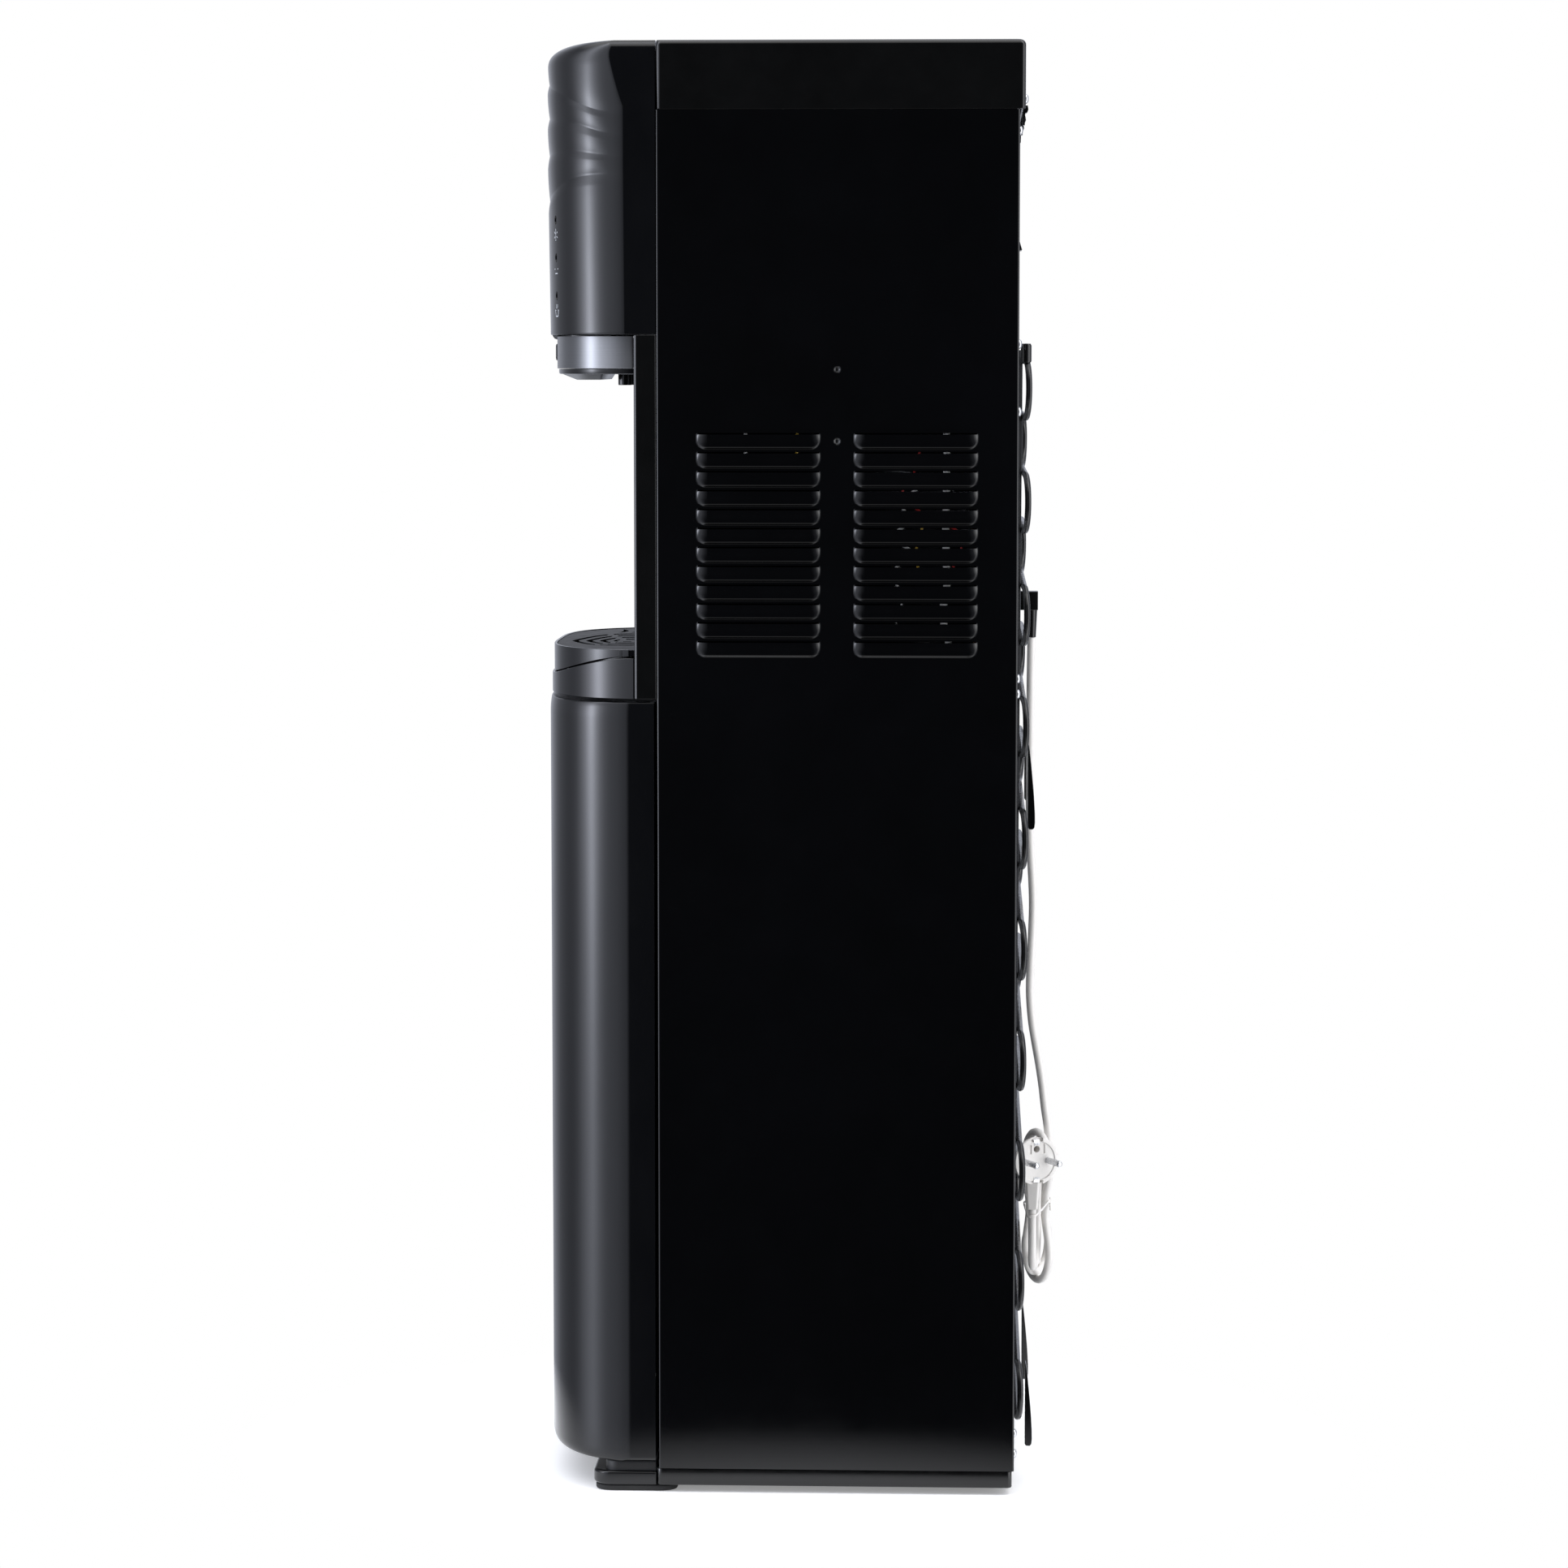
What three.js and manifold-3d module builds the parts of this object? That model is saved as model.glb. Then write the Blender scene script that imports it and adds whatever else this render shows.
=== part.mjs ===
// Bottom-loading water dispenser: a floor-standing cabinet with a dispensing niche, a drip tray,
// a door over the bottle compartment, louvred sides and a condenser on its back.
// Millimetres. +Z is up, the front faces -Y, and the origin is on the floor under the middle.

import * as THREE from 'three';
import { mergeVertices } from 'three/addons/utils/BufferGeometryUtils.js';
import Module from 'manifold-3d';

const wasm = await Module();
wasm.setup();

// Driving dimensions of the cabinet.
const HALF = 155;                  // half of the width
const HEIGHT = 1050;
const FRONT = -178.8;              // front of the head and the door
const BASE_BOTTOM = 5.5;
const BASE_TOP = 18;
const PANEL = { front: -92.5, rear: 166.5, top: 1000.7, sheet: 1.2, frontFlange: 12, rearFlange: 15 };
const CAP = { bottom: 1001, front: -92.2, rear: 170.4, wall: 3, edge: 4 };
const NICHE = { bottom: 581, top: 841.6, cheek: -108.5, back: -72, halfInside: 137 };
const HEAD = { bottom: 842, top: HEIGHT, rear: -92.8, wall: 3 };
const HEAD_DRAFT = { low: 960, lowSlope: 0.013, start: 1003, slope: 0.065, edge: 1046, edgeSlope: 0.9 };
const HEAD_ROUND = { start: 1034, depth: 34, height: 16.2, power: 2.6 };
const BAND = { bottom: 817.6, top: 840.9, front: -172.5, rear: -109.2, half: 146.7, sheet: 2 };
const TRAY = { rim: 615.7, front: -176.4, half: 141.6, basin: 584, rear: -77 };
const GRILLE = { bottom: 613, top: 615.2, inset: 2.3 };
const LEAF = {
  x: 25, y: -122.5, left: 1, right: 0.65, rib: 4, tip: 0.45, end: 0.985, power: 3, steps: 8,
  rings: [
    { outer: [42.4, 90], inner: [37.6, 80] },
    { outer: [32, 68], inner: [27.2, 58] },
    { outer: [21.7, 46], inner: [16.9, 36] },
    { outer: [11.4, 24], inner: [8.6, 14] },
  ],
};
const CRESCENT = { x: -97, half: 22, y: -137.2, pitch: 9.5, count: 6, front: 1.6, rear: 5.8, steps: 8 };
const APRON = { bottom: 580.4, front: -177.7, rear: -108.9, half: 149.9, wall: 3 };
const DOOR = { bottom: 23, top: 578.4, rear: -94.6, wall: 2.6 };
const DOOR_ROUND = { depth: 9, height: 9, power: 3.2, topDepth: 1.2, topHeight: 12 };
const HINGE = { x: -150.5, y: -99.8, pin: 1.5, hole: 1.9 };
const SHELF = { mid: 585, tank: 790, sheet: 1.5, front: -66, rear: 163 };
const SKIRT = { bottom: 4.9, top: 15, front: -141, rear: -94.4, lobeWidth: 58, corner: 13 };
const PAD = { x: 123, y: -109.5, width: 54, length: 60, thick: 4.6, corner: 12 };
const REAR_FOOT = { x: 108, y: 138, height: 5.1, radius: 14, topRadius: 12 };
const GAP = 0.4;                   // between neighbours that touch

// The bowed front in plan: a superellipse, which the flat sides cut off.
const BOW = { reach: 157, depth: 104, power: 3.4 };
const BAND_BOW = { reach: 147, depth: 80, power: 3.4 };
const TRAY_BOW = { reach: 147.2, depth: 137, power: 3.4 };
const APRON_BOW = { reach: 156, depth: 146.2, power: 3.4 };
const DOOR_BOW = { reach: 157, depth: 110, power: 3.4 };

// Louvres: hoods pressed out of the side panels, open along their top edges.
const LOUVRE = { rows: 12, pitch: 13.53, top: 770.8, height: 11, length: 88.6, bulge: 2.6, sheet: 0.9 };
const LOUVRE_COLUMNS = [-19.3, 93.3];

// Condenser: one tube folded into rows behind the cabinet, leaning out towards its top.
const COIL = { rows: 20, pitch: 40.6, bottom: 51.6, half: 121, tube: 2.3, near: 168.8, lean: 0.0038 };

// Dispensing controls and lamps.
const BUTTON = { spacing: 42, width: 29.2, height: 12.2, z: 829.5, front: -173.1, back: -166.5 };
const NOZZLE = { spacing: 30, y: -124, radius: 5, bore: 3, bottom: 805.2, top: 816 };
const OUTLET = {
  bottom: 813.6, top: 817.2, blockRear: -112,
  steps: [[72, -143, 808.2], [70, -139.5, 806.4], [68, -135, 804.7]],
};
const LAMP = { x: 111, z: [924.3, 897.3, 869.9], radius: 2.2, length: 5 };
const CONTROL_BOARD = { x0: 88, x1: 122, y: -158, z: 897, half: 44 };

// Mains cord, which hangs behind the cabinet with its spare length tied in a hank.
const CORD = { diameter: 6.1, sides: 8, steps: 60 };
const CORD_ROUTE = [
  [-30, 178.6, 614.7], [-30, 178.4, 600], [-30, 178.2, 575], [-30, 178.1, 545], [-30, 178, 515],
  [-30, 178, 490], [-29.8, 178.2, 471], [-29.6, 179, 450], [-29.3, 180.2, 430], [-29, 180.8, 410],
  [-28.6, 180, 385], [-28, 179, 360], [-27.2, 178.9, 342], [-26, 180.6, 322], [-24.6, 183.6, 304],
  [-23.4, 186.6, 287], [-22.4, 188.8, 270], [-22, 189.6, 256], [-22, 189.8, 243.4],
];
const HANK = {
  left: -46, right: 14, shoulder: 44, bottom: 122, top: 243, shoulderTop: 189.6, front: 172.6, rear: 197,
};
const PLUG = { x: 42, y: 184, z: 227, turn: 26, radius: 17.5, depth: 18, relief: 190 };

// ---------------------------------------------------------------- solids

function toManifold(geometry) {
  const bare = geometry.clone();
  bare.deleteAttribute('normal');
  bare.deleteAttribute('uv');
  const merged = mergeVertices(bare, 1e-4);
  const vertProperties = new Float32Array(merged.attributes.position.array);
  const triVerts = new Uint32Array(merged.index.array);
  return new wasm.Manifold(new wasm.Mesh({ numProp: 3, vertProperties, triVerts }));
}

function toGeometry(manifold) {
  const mesh = manifold.getMesh();
  const geometry = new THREE.BufferGeometry();
  const positions = new Float32Array(mesh.numVert * 3);
  for (let i = 0; i < mesh.numVert; i += 1) {
    for (let k = 0; k < 3; k += 1) {
      positions[3 * i + k] = mesh.vertProperties[i * mesh.numProp + k];
    }
  }
  geometry.setAttribute('position', new THREE.BufferAttribute(positions, 3));
  geometry.setIndex(new THREE.BufferAttribute(new Uint32Array(mesh.triVerts), 1));
  geometry.computeVertexNormals();
  return geometry;
}

function cut(geometry, ...tools) {
  let result = toManifold(geometry);
  for (const tool of tools) {
    result = result.subtract(toManifold(tool));
  }
  return toGeometry(result);
}

function join(geometry, ...others) {
  let result = toManifold(geometry);
  for (const other of others) {
    result = result.add(toManifold(other));
  }
  return toGeometry(result);
}

function box(x0, x1, y0, y1, z0, z1) {
  const geometry = new THREE.BoxGeometry(x1 - x0, y1 - y0, z1 - z0);
  return geometry.translate((x0 + x1) / 2, (y0 + y1) / 2, (z0 + z1) / 2);
}

// A cylinder along X, Y or Z, centred on a point.
function rod(axis, radius, length, x, y, z, sides = 24, endRadius = radius) {
  const geometry = new THREE.CylinderGeometry(endRadius, radius, length, sides);
  if (axis === 'x') geometry.rotateZ(-Math.PI / 2);
  if (axis === 'z') geometry.rotateX(Math.PI / 2);
  return geometry.translate(x, y, z);
}

function outline(points) {
  return new THREE.Shape(points.map(([x, y]) => new THREE.Vector2(x, y)));
}

function extrude(shape, depth, curveSegments = 4) {
  return new THREE.ExtrudeGeometry(shape, { depth, bevelEnabled: false, curveSegments });
}

// Upright prism of an XY outline.
function prism(points, z0, z1) {
  return extrude(outline(points), z1 - z0).translate(0, 0, z0);
}

// Prism along X of a YZ outline.
function prismX(points, x0, x1) {
  const geometry = extrude(outline(points), x1 - x0);
  geometry.applyMatrix4(new THREE.Matrix4().makeBasis(
    new THREE.Vector3(0, 1, 0),
    new THREE.Vector3(0, 0, 1),
    new THREE.Vector3(1, 0, 0),
  ));
  return geometry.translate(x0, 0, 0);
}

// Prism along Y of an XZ outline.
function prismY(shape, y0, y1) {
  const geometry = extrude(shape, y1 - y0);
  return geometry.rotateX(Math.PI / 2).translate(0, y1, 0);
}

function roundedRectangle(x0, x1, y0, y1, radius) {
  const shape = new THREE.Shape();
  shape.moveTo(x0 + radius, y0);
  shape.lineTo(x1 - radius, y0);
  shape.absarc(x1 - radius, y0 + radius, radius, -Math.PI / 2, 0, false);
  shape.lineTo(x1, y1 - radius);
  shape.absarc(x1 - radius, y1 - radius, radius, 0, Math.PI / 2, false);
  shape.lineTo(x0 + radius, y1);
  shape.absarc(x0 + radius, y1 - radius, radius, Math.PI / 2, Math.PI, false);
  shape.lineTo(x0, y0 + radius);
  shape.absarc(x0 + radius, y0 + radius, radius, Math.PI, Math.PI * 1.5, false);
  return shape;
}

// Points along a bowed front, from left to right, set in from it by an inset.
function bowLine(bow, front, half, inset = 0, steps = 22) {
  const centre = front + bow.depth;
  const start = Math.acos((half / bow.reach) ** (bow.power / 2));
  const points = [];
  for (let i = 0; i <= steps; i += 1) {
    const angle = Math.PI - start - (i / steps) * (Math.PI - 2 * start);
    const c = Math.cos(angle);
    const s = Math.sin(angle);
    const x = bow.reach * Math.sign(c) * Math.abs(c) ** (2 / bow.power);
    const y = bow.depth * s ** (2 / bow.power);
    const nx = (Math.sign(c) * Math.abs(x / bow.reach) ** (bow.power - 1)) / bow.reach;
    const ny = (y / bow.depth) ** (bow.power - 1) / bow.depth;
    const size = Math.hypot(nx, ny);
    points.push([x - (inset * nx) / size, centre - y + (inset * ny) / size]);
  }
  return points;
}

// How far a rounded edge has leant back, from 0 where it starts to all of its depth where it ends.
function leanBack({ depth, power }, share) {
  return depth * (1 - (1 - Math.min(1, Math.max(0, share)) ** power) ** (1 / power));
}

// A closed plan outline: a bowed front and straight sides back to a rear edge.
function bowPlan(bow, front, half, rear, inset = 0, rearInset = 0) {
  const side = half - inset;
  return [
    ...bowLine(bow, front, half, inset),
    [side, rear - rearInset],
    [-side, rear - rearInset],
  ];
}

// A solid through outlines of equal point counts. Each outline is a list of [x, y, z].
function loft(outlines) {
  const count = outlines[0].length;
  const positions = outlines.flat(2);
  const index = [];
  for (let level = 0; level + 1 < outlines.length; level += 1) {
    for (let i = 0; i < count; i += 1) {
      const j = (i + 1) % count;
      const a = level * count + i;
      const b = level * count + j;
      index.push(a, b, b + count, a, b + count, a + count);
    }
  }
  const flat = (points) => points.map(([x, y]) => new THREE.Vector2(x, y));
  const last = (outlines.length - 1) * count;
  for (const [a, b, c] of THREE.ShapeUtils.triangulateShape(flat(outlines[0]), [])) {
    index.push(a, c, b);
  }
  for (const [a, b, c] of THREE.ShapeUtils.triangulateShape(flat(outlines.at(-1)), [])) {
    index.push(last + a, last + b, last + c);
  }
  const geometry = new THREE.BufferGeometry();
  geometry.setAttribute('position', new THREE.Float32BufferAttribute(positions, 3));
  geometry.setIndex(index);
  geometry.computeVertexNormals();
  return geometry;
}

function atHeight(points, z) {
  return points.map(([x, y]) => [x, y, z]);
}

// A wall that stands along a line, between two heights that may change with the place.
function wall(outer, inner, low, high) {
  const stations = outer.map(([x, y], i) => [
    [x, y, low(x, y)],
    [inner[i][0], inner[i][1], low(x, y)],
    [inner[i][0], inner[i][1], high(x, y)],
    [x, y, high(x, y)],
  ]);
  const positions = stations.flat(2);
  const index = [];
  for (let i = 0; i + 1 < stations.length; i += 1) {
    for (let k = 0; k < 4; k += 1) {
      const a = 4 * i + k;
      const b = 4 * i + ((k + 1) % 4);
      index.push(a, b + 4, a + 4, a, b, b + 4);
    }
  }
  const end = 4 * (stations.length - 1);
  index.push(0, 2, 1, 0, 3, 2);
  index.push(end, end + 1, end + 2, end, end + 2, end + 3);
  const geometry = new THREE.BufferGeometry();
  geometry.setAttribute('position', new THREE.Float32BufferAttribute(positions, 3));
  geometry.setIndex(index);
  geometry.computeVertexNormals();
  return geometry;
}

// A round bar along a curve through points.
function bar(points, radius, sides, steps) {
  const shape = new THREE.Shape();
  for (let i = 0; i < sides; i += 1) {
    const angle = (2 * Math.PI * (i + 0.5)) / sides;
    const place = [radius * Math.cos(angle), radius * Math.sin(angle)];
    if (i === 0) shape.moveTo(...place);
    else shape.lineTo(...place);
  }
  const extrudePath = new THREE.CatmullRomCurve3(points.map((p) => new THREE.Vector3(...p)));
  return new THREE.ExtrudeGeometry(shape, { steps, extrudePath, bevelEnabled: false });
}

function lathe(profile, segments = 28) {
  const points = profile.map(([r, z]) => new THREE.Vector2(r, z));
  return new THREE.LatheGeometry(points, segments).rotateX(Math.PI / 2);
}

// ---------------------------------------------------------------- finishes

function finish(color, roughness, metalness = 0) {
  return new THREE.MeshStandardMaterial({ color, roughness, metalness });
}

const FINISHES = {
  paint: finish(0x07080b, 0.22),
  glossBlack: finish(0x0e0f11, 0.16),
  satinBlack: finish(0x101113, 0.4),
  brushed: finish(0xc3c5c8, 0.3, 1),
  rubber: finish(0x141414, 0.8),
  steel: finish(0xa8abae, 0.3, 1),
  zinc: finish(0x9c9fa1, 0.45, 1),
  coilBlack: finish(0x0b0b0c, 0.35),
  whitePlastic: finish(0xe4e5e6, 0.4),
  foam: finish(0xe9e8e2, 0.9),
  circuit: finish(0x1c5a33, 0.5),
  lamp: finish(0x2a2c30, 0.2),
  copper: finish(0xb06a42, 0.35, 1),
};

function part(name, geometry, material) {
  const mesh = new THREE.Mesh(geometry, material);
  mesh.name = name;
  return mesh;
}

const SIDES = [['left', -1], ['right', 1]];

// ---------------------------------------------------------------- base

function basePan() {
  const body = extrude(roundedRectangle(-153.5, 153.5, -94, 165, 4), BASE_TOP - BASE_BOTTOM);
  body.translate(0, 0, BASE_BOTTOM);
  return cut(body, box(-150.5, 150.5, -91, 162, BASE_BOTTOM + 3, BASE_TOP + 1));
}

function frontSkirt() {
  const { bottom, top, front, rear, lobeWidth, corner } = SKIRT;
  const outer = HALF - 3;
  const bridge = box(-outer + lobeWidth / 2, outer - lobeWidth / 2, front + 29, rear, bottom, top);
  const lobe = (x0) => {
    const shape = roundedRectangle(x0, x0 + lobeWidth, front, rear + 2 * corner, corner);
    const solid = extrude(shape, top - bottom).translate(0, 0, bottom);
    return cut(solid, box(x0 - 1, x0 + lobeWidth + 1, rear, rear + 3 * corner, 0, top + 1));
  };
  return join(bridge, lobe(outer - lobeWidth), lobe(-outer));
}

function frontPad() {
  const { width, length, thick, corner } = PAD;
  return extrude(roundedRectangle(-width / 2, width / 2, -length / 2, length / 2, corner), thick);
}

function makeBase() {
  const group = new THREE.Group();
  group.add(part('base_pan', basePan(), FINISHES.satinBlack));
  group.add(part('front_skirt', frontSkirt(), FINISHES.satinBlack));
  for (const [side, sign] of SIDES) {
    const pad = part(`front_foot_pad_${side}`, frontPad(), FINISHES.rubber);
    pad.position.set(sign * PAD.x, PAD.y, 0);
    group.add(pad);
    const { x, y, height, radius, topRadius } = REAR_FOOT;
    const shape = rod('z', radius, height, 0, 0, height / 2, 20, topRadius);
    const foot = part(`rear_foot_${side}`, shape, FINISHES.rubber);
    foot.position.set(sign * x, y, 0);
    group.add(foot);
  }
  return group;
}

// ---------------------------------------------------------------- cabinet

// A side panel seen from above is a channel: the sheet with a flange folded in at each end.
function sidePanel() {
  const { front, rear, top, sheet, frontFlange, rearFlange } = PANEL;
  const bottom = BASE_TOP + 0.3;
  const inside = HALF - sheet;
  const channel = [
    [HALF - frontFlange, front], [HALF, front], [HALF, rear], [HALF - rearFlange, rear],
    [HALF - rearFlange, rear - sheet], [inside, rear - sheet],
    [inside, front + sheet], [HALF - frontFlange, front + sheet],
  ];
  const hoods = [];
  const hollows = [];
  for (let row = 0; row < LOUVRE.rows; row += 1) {
    const high = LOUVRE.top - row * LOUVRE.pitch;
    const low = high - LOUVRE.height;
    const out = HALF + LOUVRE.bulge;
    const skin = LOUVRE.sheet;
    for (const middle of LOUVRE_COLUMNS) {
      const y0 = middle - LOUVRE.length / 2;
      const y1 = middle + LOUVRE.length / 2;
      const hood = outline([[HALF - 0.5, low], [out, high - 4], [out, high], [HALF - 0.5, high]]);
      const hollow = outline([
        [inside - 1, low + 2.4], [HALF, low + 2.4], [out - skin, high - 3.8],
        [out - skin, high + 1], [inside - 1, high + 1],
      ]);
      hoods.push(prismY(hood, y0, y1));
      hollows.push(prismY(hollow, y0 + 1.5, y1 - 1.5));
    }
  }
  return cut(join(prism(channel, bottom, top), ...hoods), ...hollows);
}

function mirrored(geometry) {
  const copy = geometry.clone();
  copy.scale(-1, 1, 1);
  const index = copy.index.array;
  for (let i = 0; i < index.length; i += 3) {
    [index[i], index[i + 1]] = [index[i + 1], index[i]];
  }
  copy.computeVertexNormals();
  return copy;
}

function topCover() {
  const rectangle = (inset, z) => {
    const shape = roundedRectangle(
      -HALF + inset, HALF - inset, CAP.front + Math.min(inset, 0.4), CAP.rear - inset, 3,
    );
    return shape.getPoints(3).slice(0, -1).map((p) => [p.x, p.y, z]);
  };
  const shell = loft([
    rectangle(0, CAP.bottom),
    rectangle(0, HEIGHT - CAP.edge),
    rectangle(CAP.edge * 0.3, HEIGHT - CAP.edge * 0.3),
    rectangle(CAP.edge, HEIGHT),
  ]);
  const { wall: t } = CAP;
  return cut(shell, box(-HALF + t, HALF - t, CAP.front + t, CAP.rear - t, CAP.bottom - 1, HEIGHT - t));
}

function rearPanel(low, high, windows = []) {
  return cut(box(-152, 152, 163.6, 164.8, low, high), ...windows);
}

// The front frame: cheeks beside the niche, its slanted sides and back, and a ledge below it.
function frontFrame() {
  const { bottom, top, cheek, back, halfInside } = NICHE;
  const behind = PANEL.front - 0.3;
  const outside = halfInside + 2.7;
  const right = [
    [HALF, cheek + 1.5], [HALF, behind], [outside, behind], [outside, back],
  ];
  const inner = [
    [-halfInside, back - 2.5], [-halfInside, -95.5], [-152.5, cheek],
    [-HALF + 1.2, cheek], [-HALF, cheek + 1.5],
  ];
  const mirror = ([x, y]) => [-x, y];
  const section = [
    ...right,
    ...right.slice(1).reverse().map(mirror),
    ...inner.slice().reverse(),
    ...inner.slice(0, -1).map(mirror),
  ];
  const ledge = box(-outside + 0.5, outside - 0.5, -100, back - 1, bottom, bottom + 2.4);
  return join(prism(section, bottom, top), ledge);
}

function makeCabinet() {
  const group = new THREE.Group();
  const panel = sidePanel();
  group.add(part('side_panel_right', panel, FINISHES.paint));
  group.add(part('side_panel_left', mirrored(panel), FINISHES.paint));
  group.add(part('top_cover', topCover(), FINISHES.satinBlack));
  group.add(part('front_frame', frontFrame(), FINISHES.satinBlack));
  const window = box(-62, -14, 160, 170, 903, 925);
  group.add(part('rear_panel_upper', rearPanel(600.4, 1000.5, [window]), FINISHES.zinc));
  group.add(part('rear_panel_lower', rearPanel(BASE_TOP + 0.4, 600), FINISHES.zinc));
  return group;
}

// ---------------------------------------------------------------- head

// The head's outline at a height: the bowed front leans back over a long rounded top edge.
function headOutline(z, inset = 0, rear = HEAD.rear) {
  const back = leanBack(HEAD_ROUND, (z - HEAD_ROUND.start) / HEAD_ROUND.height);
  const low = Math.max(0, HEAD_DRAFT.low - z) * HEAD_DRAFT.lowSlope;
  const draft = Math.max(0, z - HEAD_DRAFT.start) * HEAD_DRAFT.slope;
  const edge = Math.max(0, z - HEAD_DRAFT.edge) * HEAD_DRAFT.edgeSlope;
  const bow = { ...BOW, depth: BOW.depth - back - low };
  const points = bowPlan(bow, FRONT + back + low, HALF - draft - edge, rear, inset);
  return atHeight(points, z);
}

function frontAt(x, z) {
  const line = headOutline(z).filter(([px]) => px > 0);
  for (let i = 0; i + 1 < line.length; i += 1) {
    const [x0, y0] = line[i];
    const [x1, y1] = line[i + 1];
    if (x >= x0 && x <= x1) return y0 + ((x - x0) / (x1 - x0)) * (y1 - y0);
  }
  return FRONT;
}

function headShell() {
  const heights = [HEAD.bottom, 960, 1003, HEAD_ROUND.start, 1040, 1044, 1047, 1049, HEAD.top];
  const outside = loft(heights.map((z) => headOutline(z)));
  const inside = loft([HEAD.bottom + 3, 960, 1003, 1034, 1043].map(
    (z) => headOutline(z, HEAD.wall, HEAD.rear + 5),
  ));
  const pass = box(-50, 50, -140, -112, HEAD.bottom - 1, HEAD.bottom + 4);
  const lamps = LAMP.z.map((z) => rod('y', LAMP.radius + GAP, 12, LAMP.x, frontAt(LAMP.x, z), z, 12));
  return cut(outside, inside, pass, ...lamps);
}

function makeHead() {
  const group = new THREE.Group();
  group.add(part('head_shell', headShell(), FINISHES.glossBlack));
  LAMP.z.forEach((z, i) => {
    const { radius, length } = LAMP;
    const lens = part(`indicator_lens_${i + 1}`, rod('y', radius, length, 0, 0, 0, 12), FINISHES.lamp);
    lens.position.set(LAMP.x, frontAt(LAMP.x, z) + length / 2 + 0.4, z);
    group.add(lens);
  });
  const { x0, x1, y, z, half } = CONTROL_BOARD;
  const control = part('control_board', box(x0, x1, 0, 1.6, -half, half), FINISHES.circuit);
  control.position.set(0, y, z);
  group.add(control);
  return group;
}

// ---------------------------------------------------------------- outlets

function faucetBand() {
  const { half } = BAND;
  const outer = bowLine(BAND_BOW, BAND.front, half);
  const inner = bowLine(BAND_BOW, BAND.front, half, BAND.sheet);
  const ring = wall(outer, inner, () => BAND.bottom, () => BAND.top);
  const windows = [-1, 0, 1].map((i) => {
    const w = BUTTON.width / 2 + GAP;
    const h = BUTTON.height / 2 + GAP;
    const x = i * BUTTON.spacing;
    return prismY(roundedRectangle(x - w, x + w, BUTTON.z - h, BUTTON.z + h, 3), -180, -160);
  });
  return cut(ring, ...windows);
}

// The plate closes the band from below: a sloped chin in front, and a stepped block of outlets.
function outletCover() {
  const { bottom, top, blockRear } = OUTLET;
  const plate = prism(bowPlan(BAND_BOW, BAND.front, BAND.half, BAND.rear, 1.2), bottom, top);
  const chin = loft([
    atHeight([[-52, -158], [52, -158], [52, -140], [-52, -140]], bottom - 4.4),
    atHeight([[-64, -168.5], [64, -168.5], [64, -138], [-64, -138]], bottom + 0.2),
  ]);
  const block = OUTLET.steps.map(([x, y, z]) => box(-x, x, y, blockRear, z, bottom + 0.4));
  const bores = [-1, 0, 1].map(
    (i) => rod('z', NOZZLE.radius + GAP, 30, i * NOZZLE.spacing, NOZZLE.y, 812, 20),
  );
  return cut(join(plate, chin, ...block), ...bores);
}

function nozzle() {
  const { radius, bore, bottom, top } = NOZZLE;
  const body = rod('z', radius, top - bottom, 0, 0, (top + bottom) / 2, 20);
  return cut(body, rod('z', bore, 12, 0, 0, bottom, 12));
}

function button() {
  const { width, height, front, back } = BUTTON;
  return prismY(roundedRectangle(-width / 2, width / 2, -height / 2, height / 2, 2.6), front, back);
}

function makeOutlets() {
  const group = new THREE.Group();
  group.add(part('faucet_band', faucetBand(), FINISHES.brushed));
  group.add(part('outlet_cover', outletCover(), FINISHES.glossBlack));
  ['hot', 'room', 'cold'].forEach((kind, i) => {
    const spout = part(`nozzle_${kind}`, nozzle(), FINISHES.satinBlack);
    spout.position.set((i - 1) * NOZZLE.spacing, NOZZLE.y, 0);
    group.add(spout);
    const key = part(`button_${kind}`, button(), FINISHES.glossBlack);
    key.position.set((i - 1) * BUTTON.spacing, 0, BUTTON.z);
    group.add(key);
  });
  const lock = part('child_lock_slider', box(-3.5, 3.5, -1, 0, -1.8, 1.8), FINISHES.whitePlastic);
  lock.position.set(-BUTTON.spacing - 6, BUTTON.front - 0.3, BUTTON.z);
  group.add(lock);
  group.add(part('switch_board', box(-58, 58, -163.4, -158.4, 822, 837), FINISHES.circuit));
  return group;
}

// ---------------------------------------------------------------- drip tray and apron

// The parting line between the tray and the apron sweeps up from the front like a wave,
// and its crest on the left begins nearer to the middle.
function partingLine(x, y) {
  const crest = Math.min(1, Math.max(0, (30 - x) / 90));
  const t = Math.min(1, Math.max(0, (y + 175) / 64) + 0.2 * crest * crest * (3 - 2 * crest));
  return 595 + 15.3 * Math.sin((Math.PI / 2) * t);
}

function frontApron() {
  const { front, rear, bottom, half, wall: t } = APRON;
  const rearEnd = (points, side) => [[-side, rear], ...points, [side, rear]];
  const outer = rearEnd(bowLine(APRON_BOW, front, half), half);
  const inner = rearEnd(bowLine(APRON_BOW, front, half, t), half - t);
  const ring = wall(outer, inner, () => bottom, (x, y) => partingLine(x, y) - 0.3);
  const floor = prism(bowPlan(APRON_BOW, front, half, rear, 1), bottom, bottom + 2.6);
  return join(ring, floor);
}

// The tray's plan narrows behind the cheeks.
function trayPlan(inset = 0) {
  const { half } = TRAY;
  const line = bowLine(TRAY_BOW, TRAY.front, half, inset);
  const corner = [half - inset, -102.5];
  const neck = [135.8 - inset, -96];
  const back = [135.8 - inset, TRAY.rear - inset];
  return [
    ...line, corner, neck, back,
    ...[back, neck, corner].map(([x, y]) => [-x, y]),
  ];
}

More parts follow.
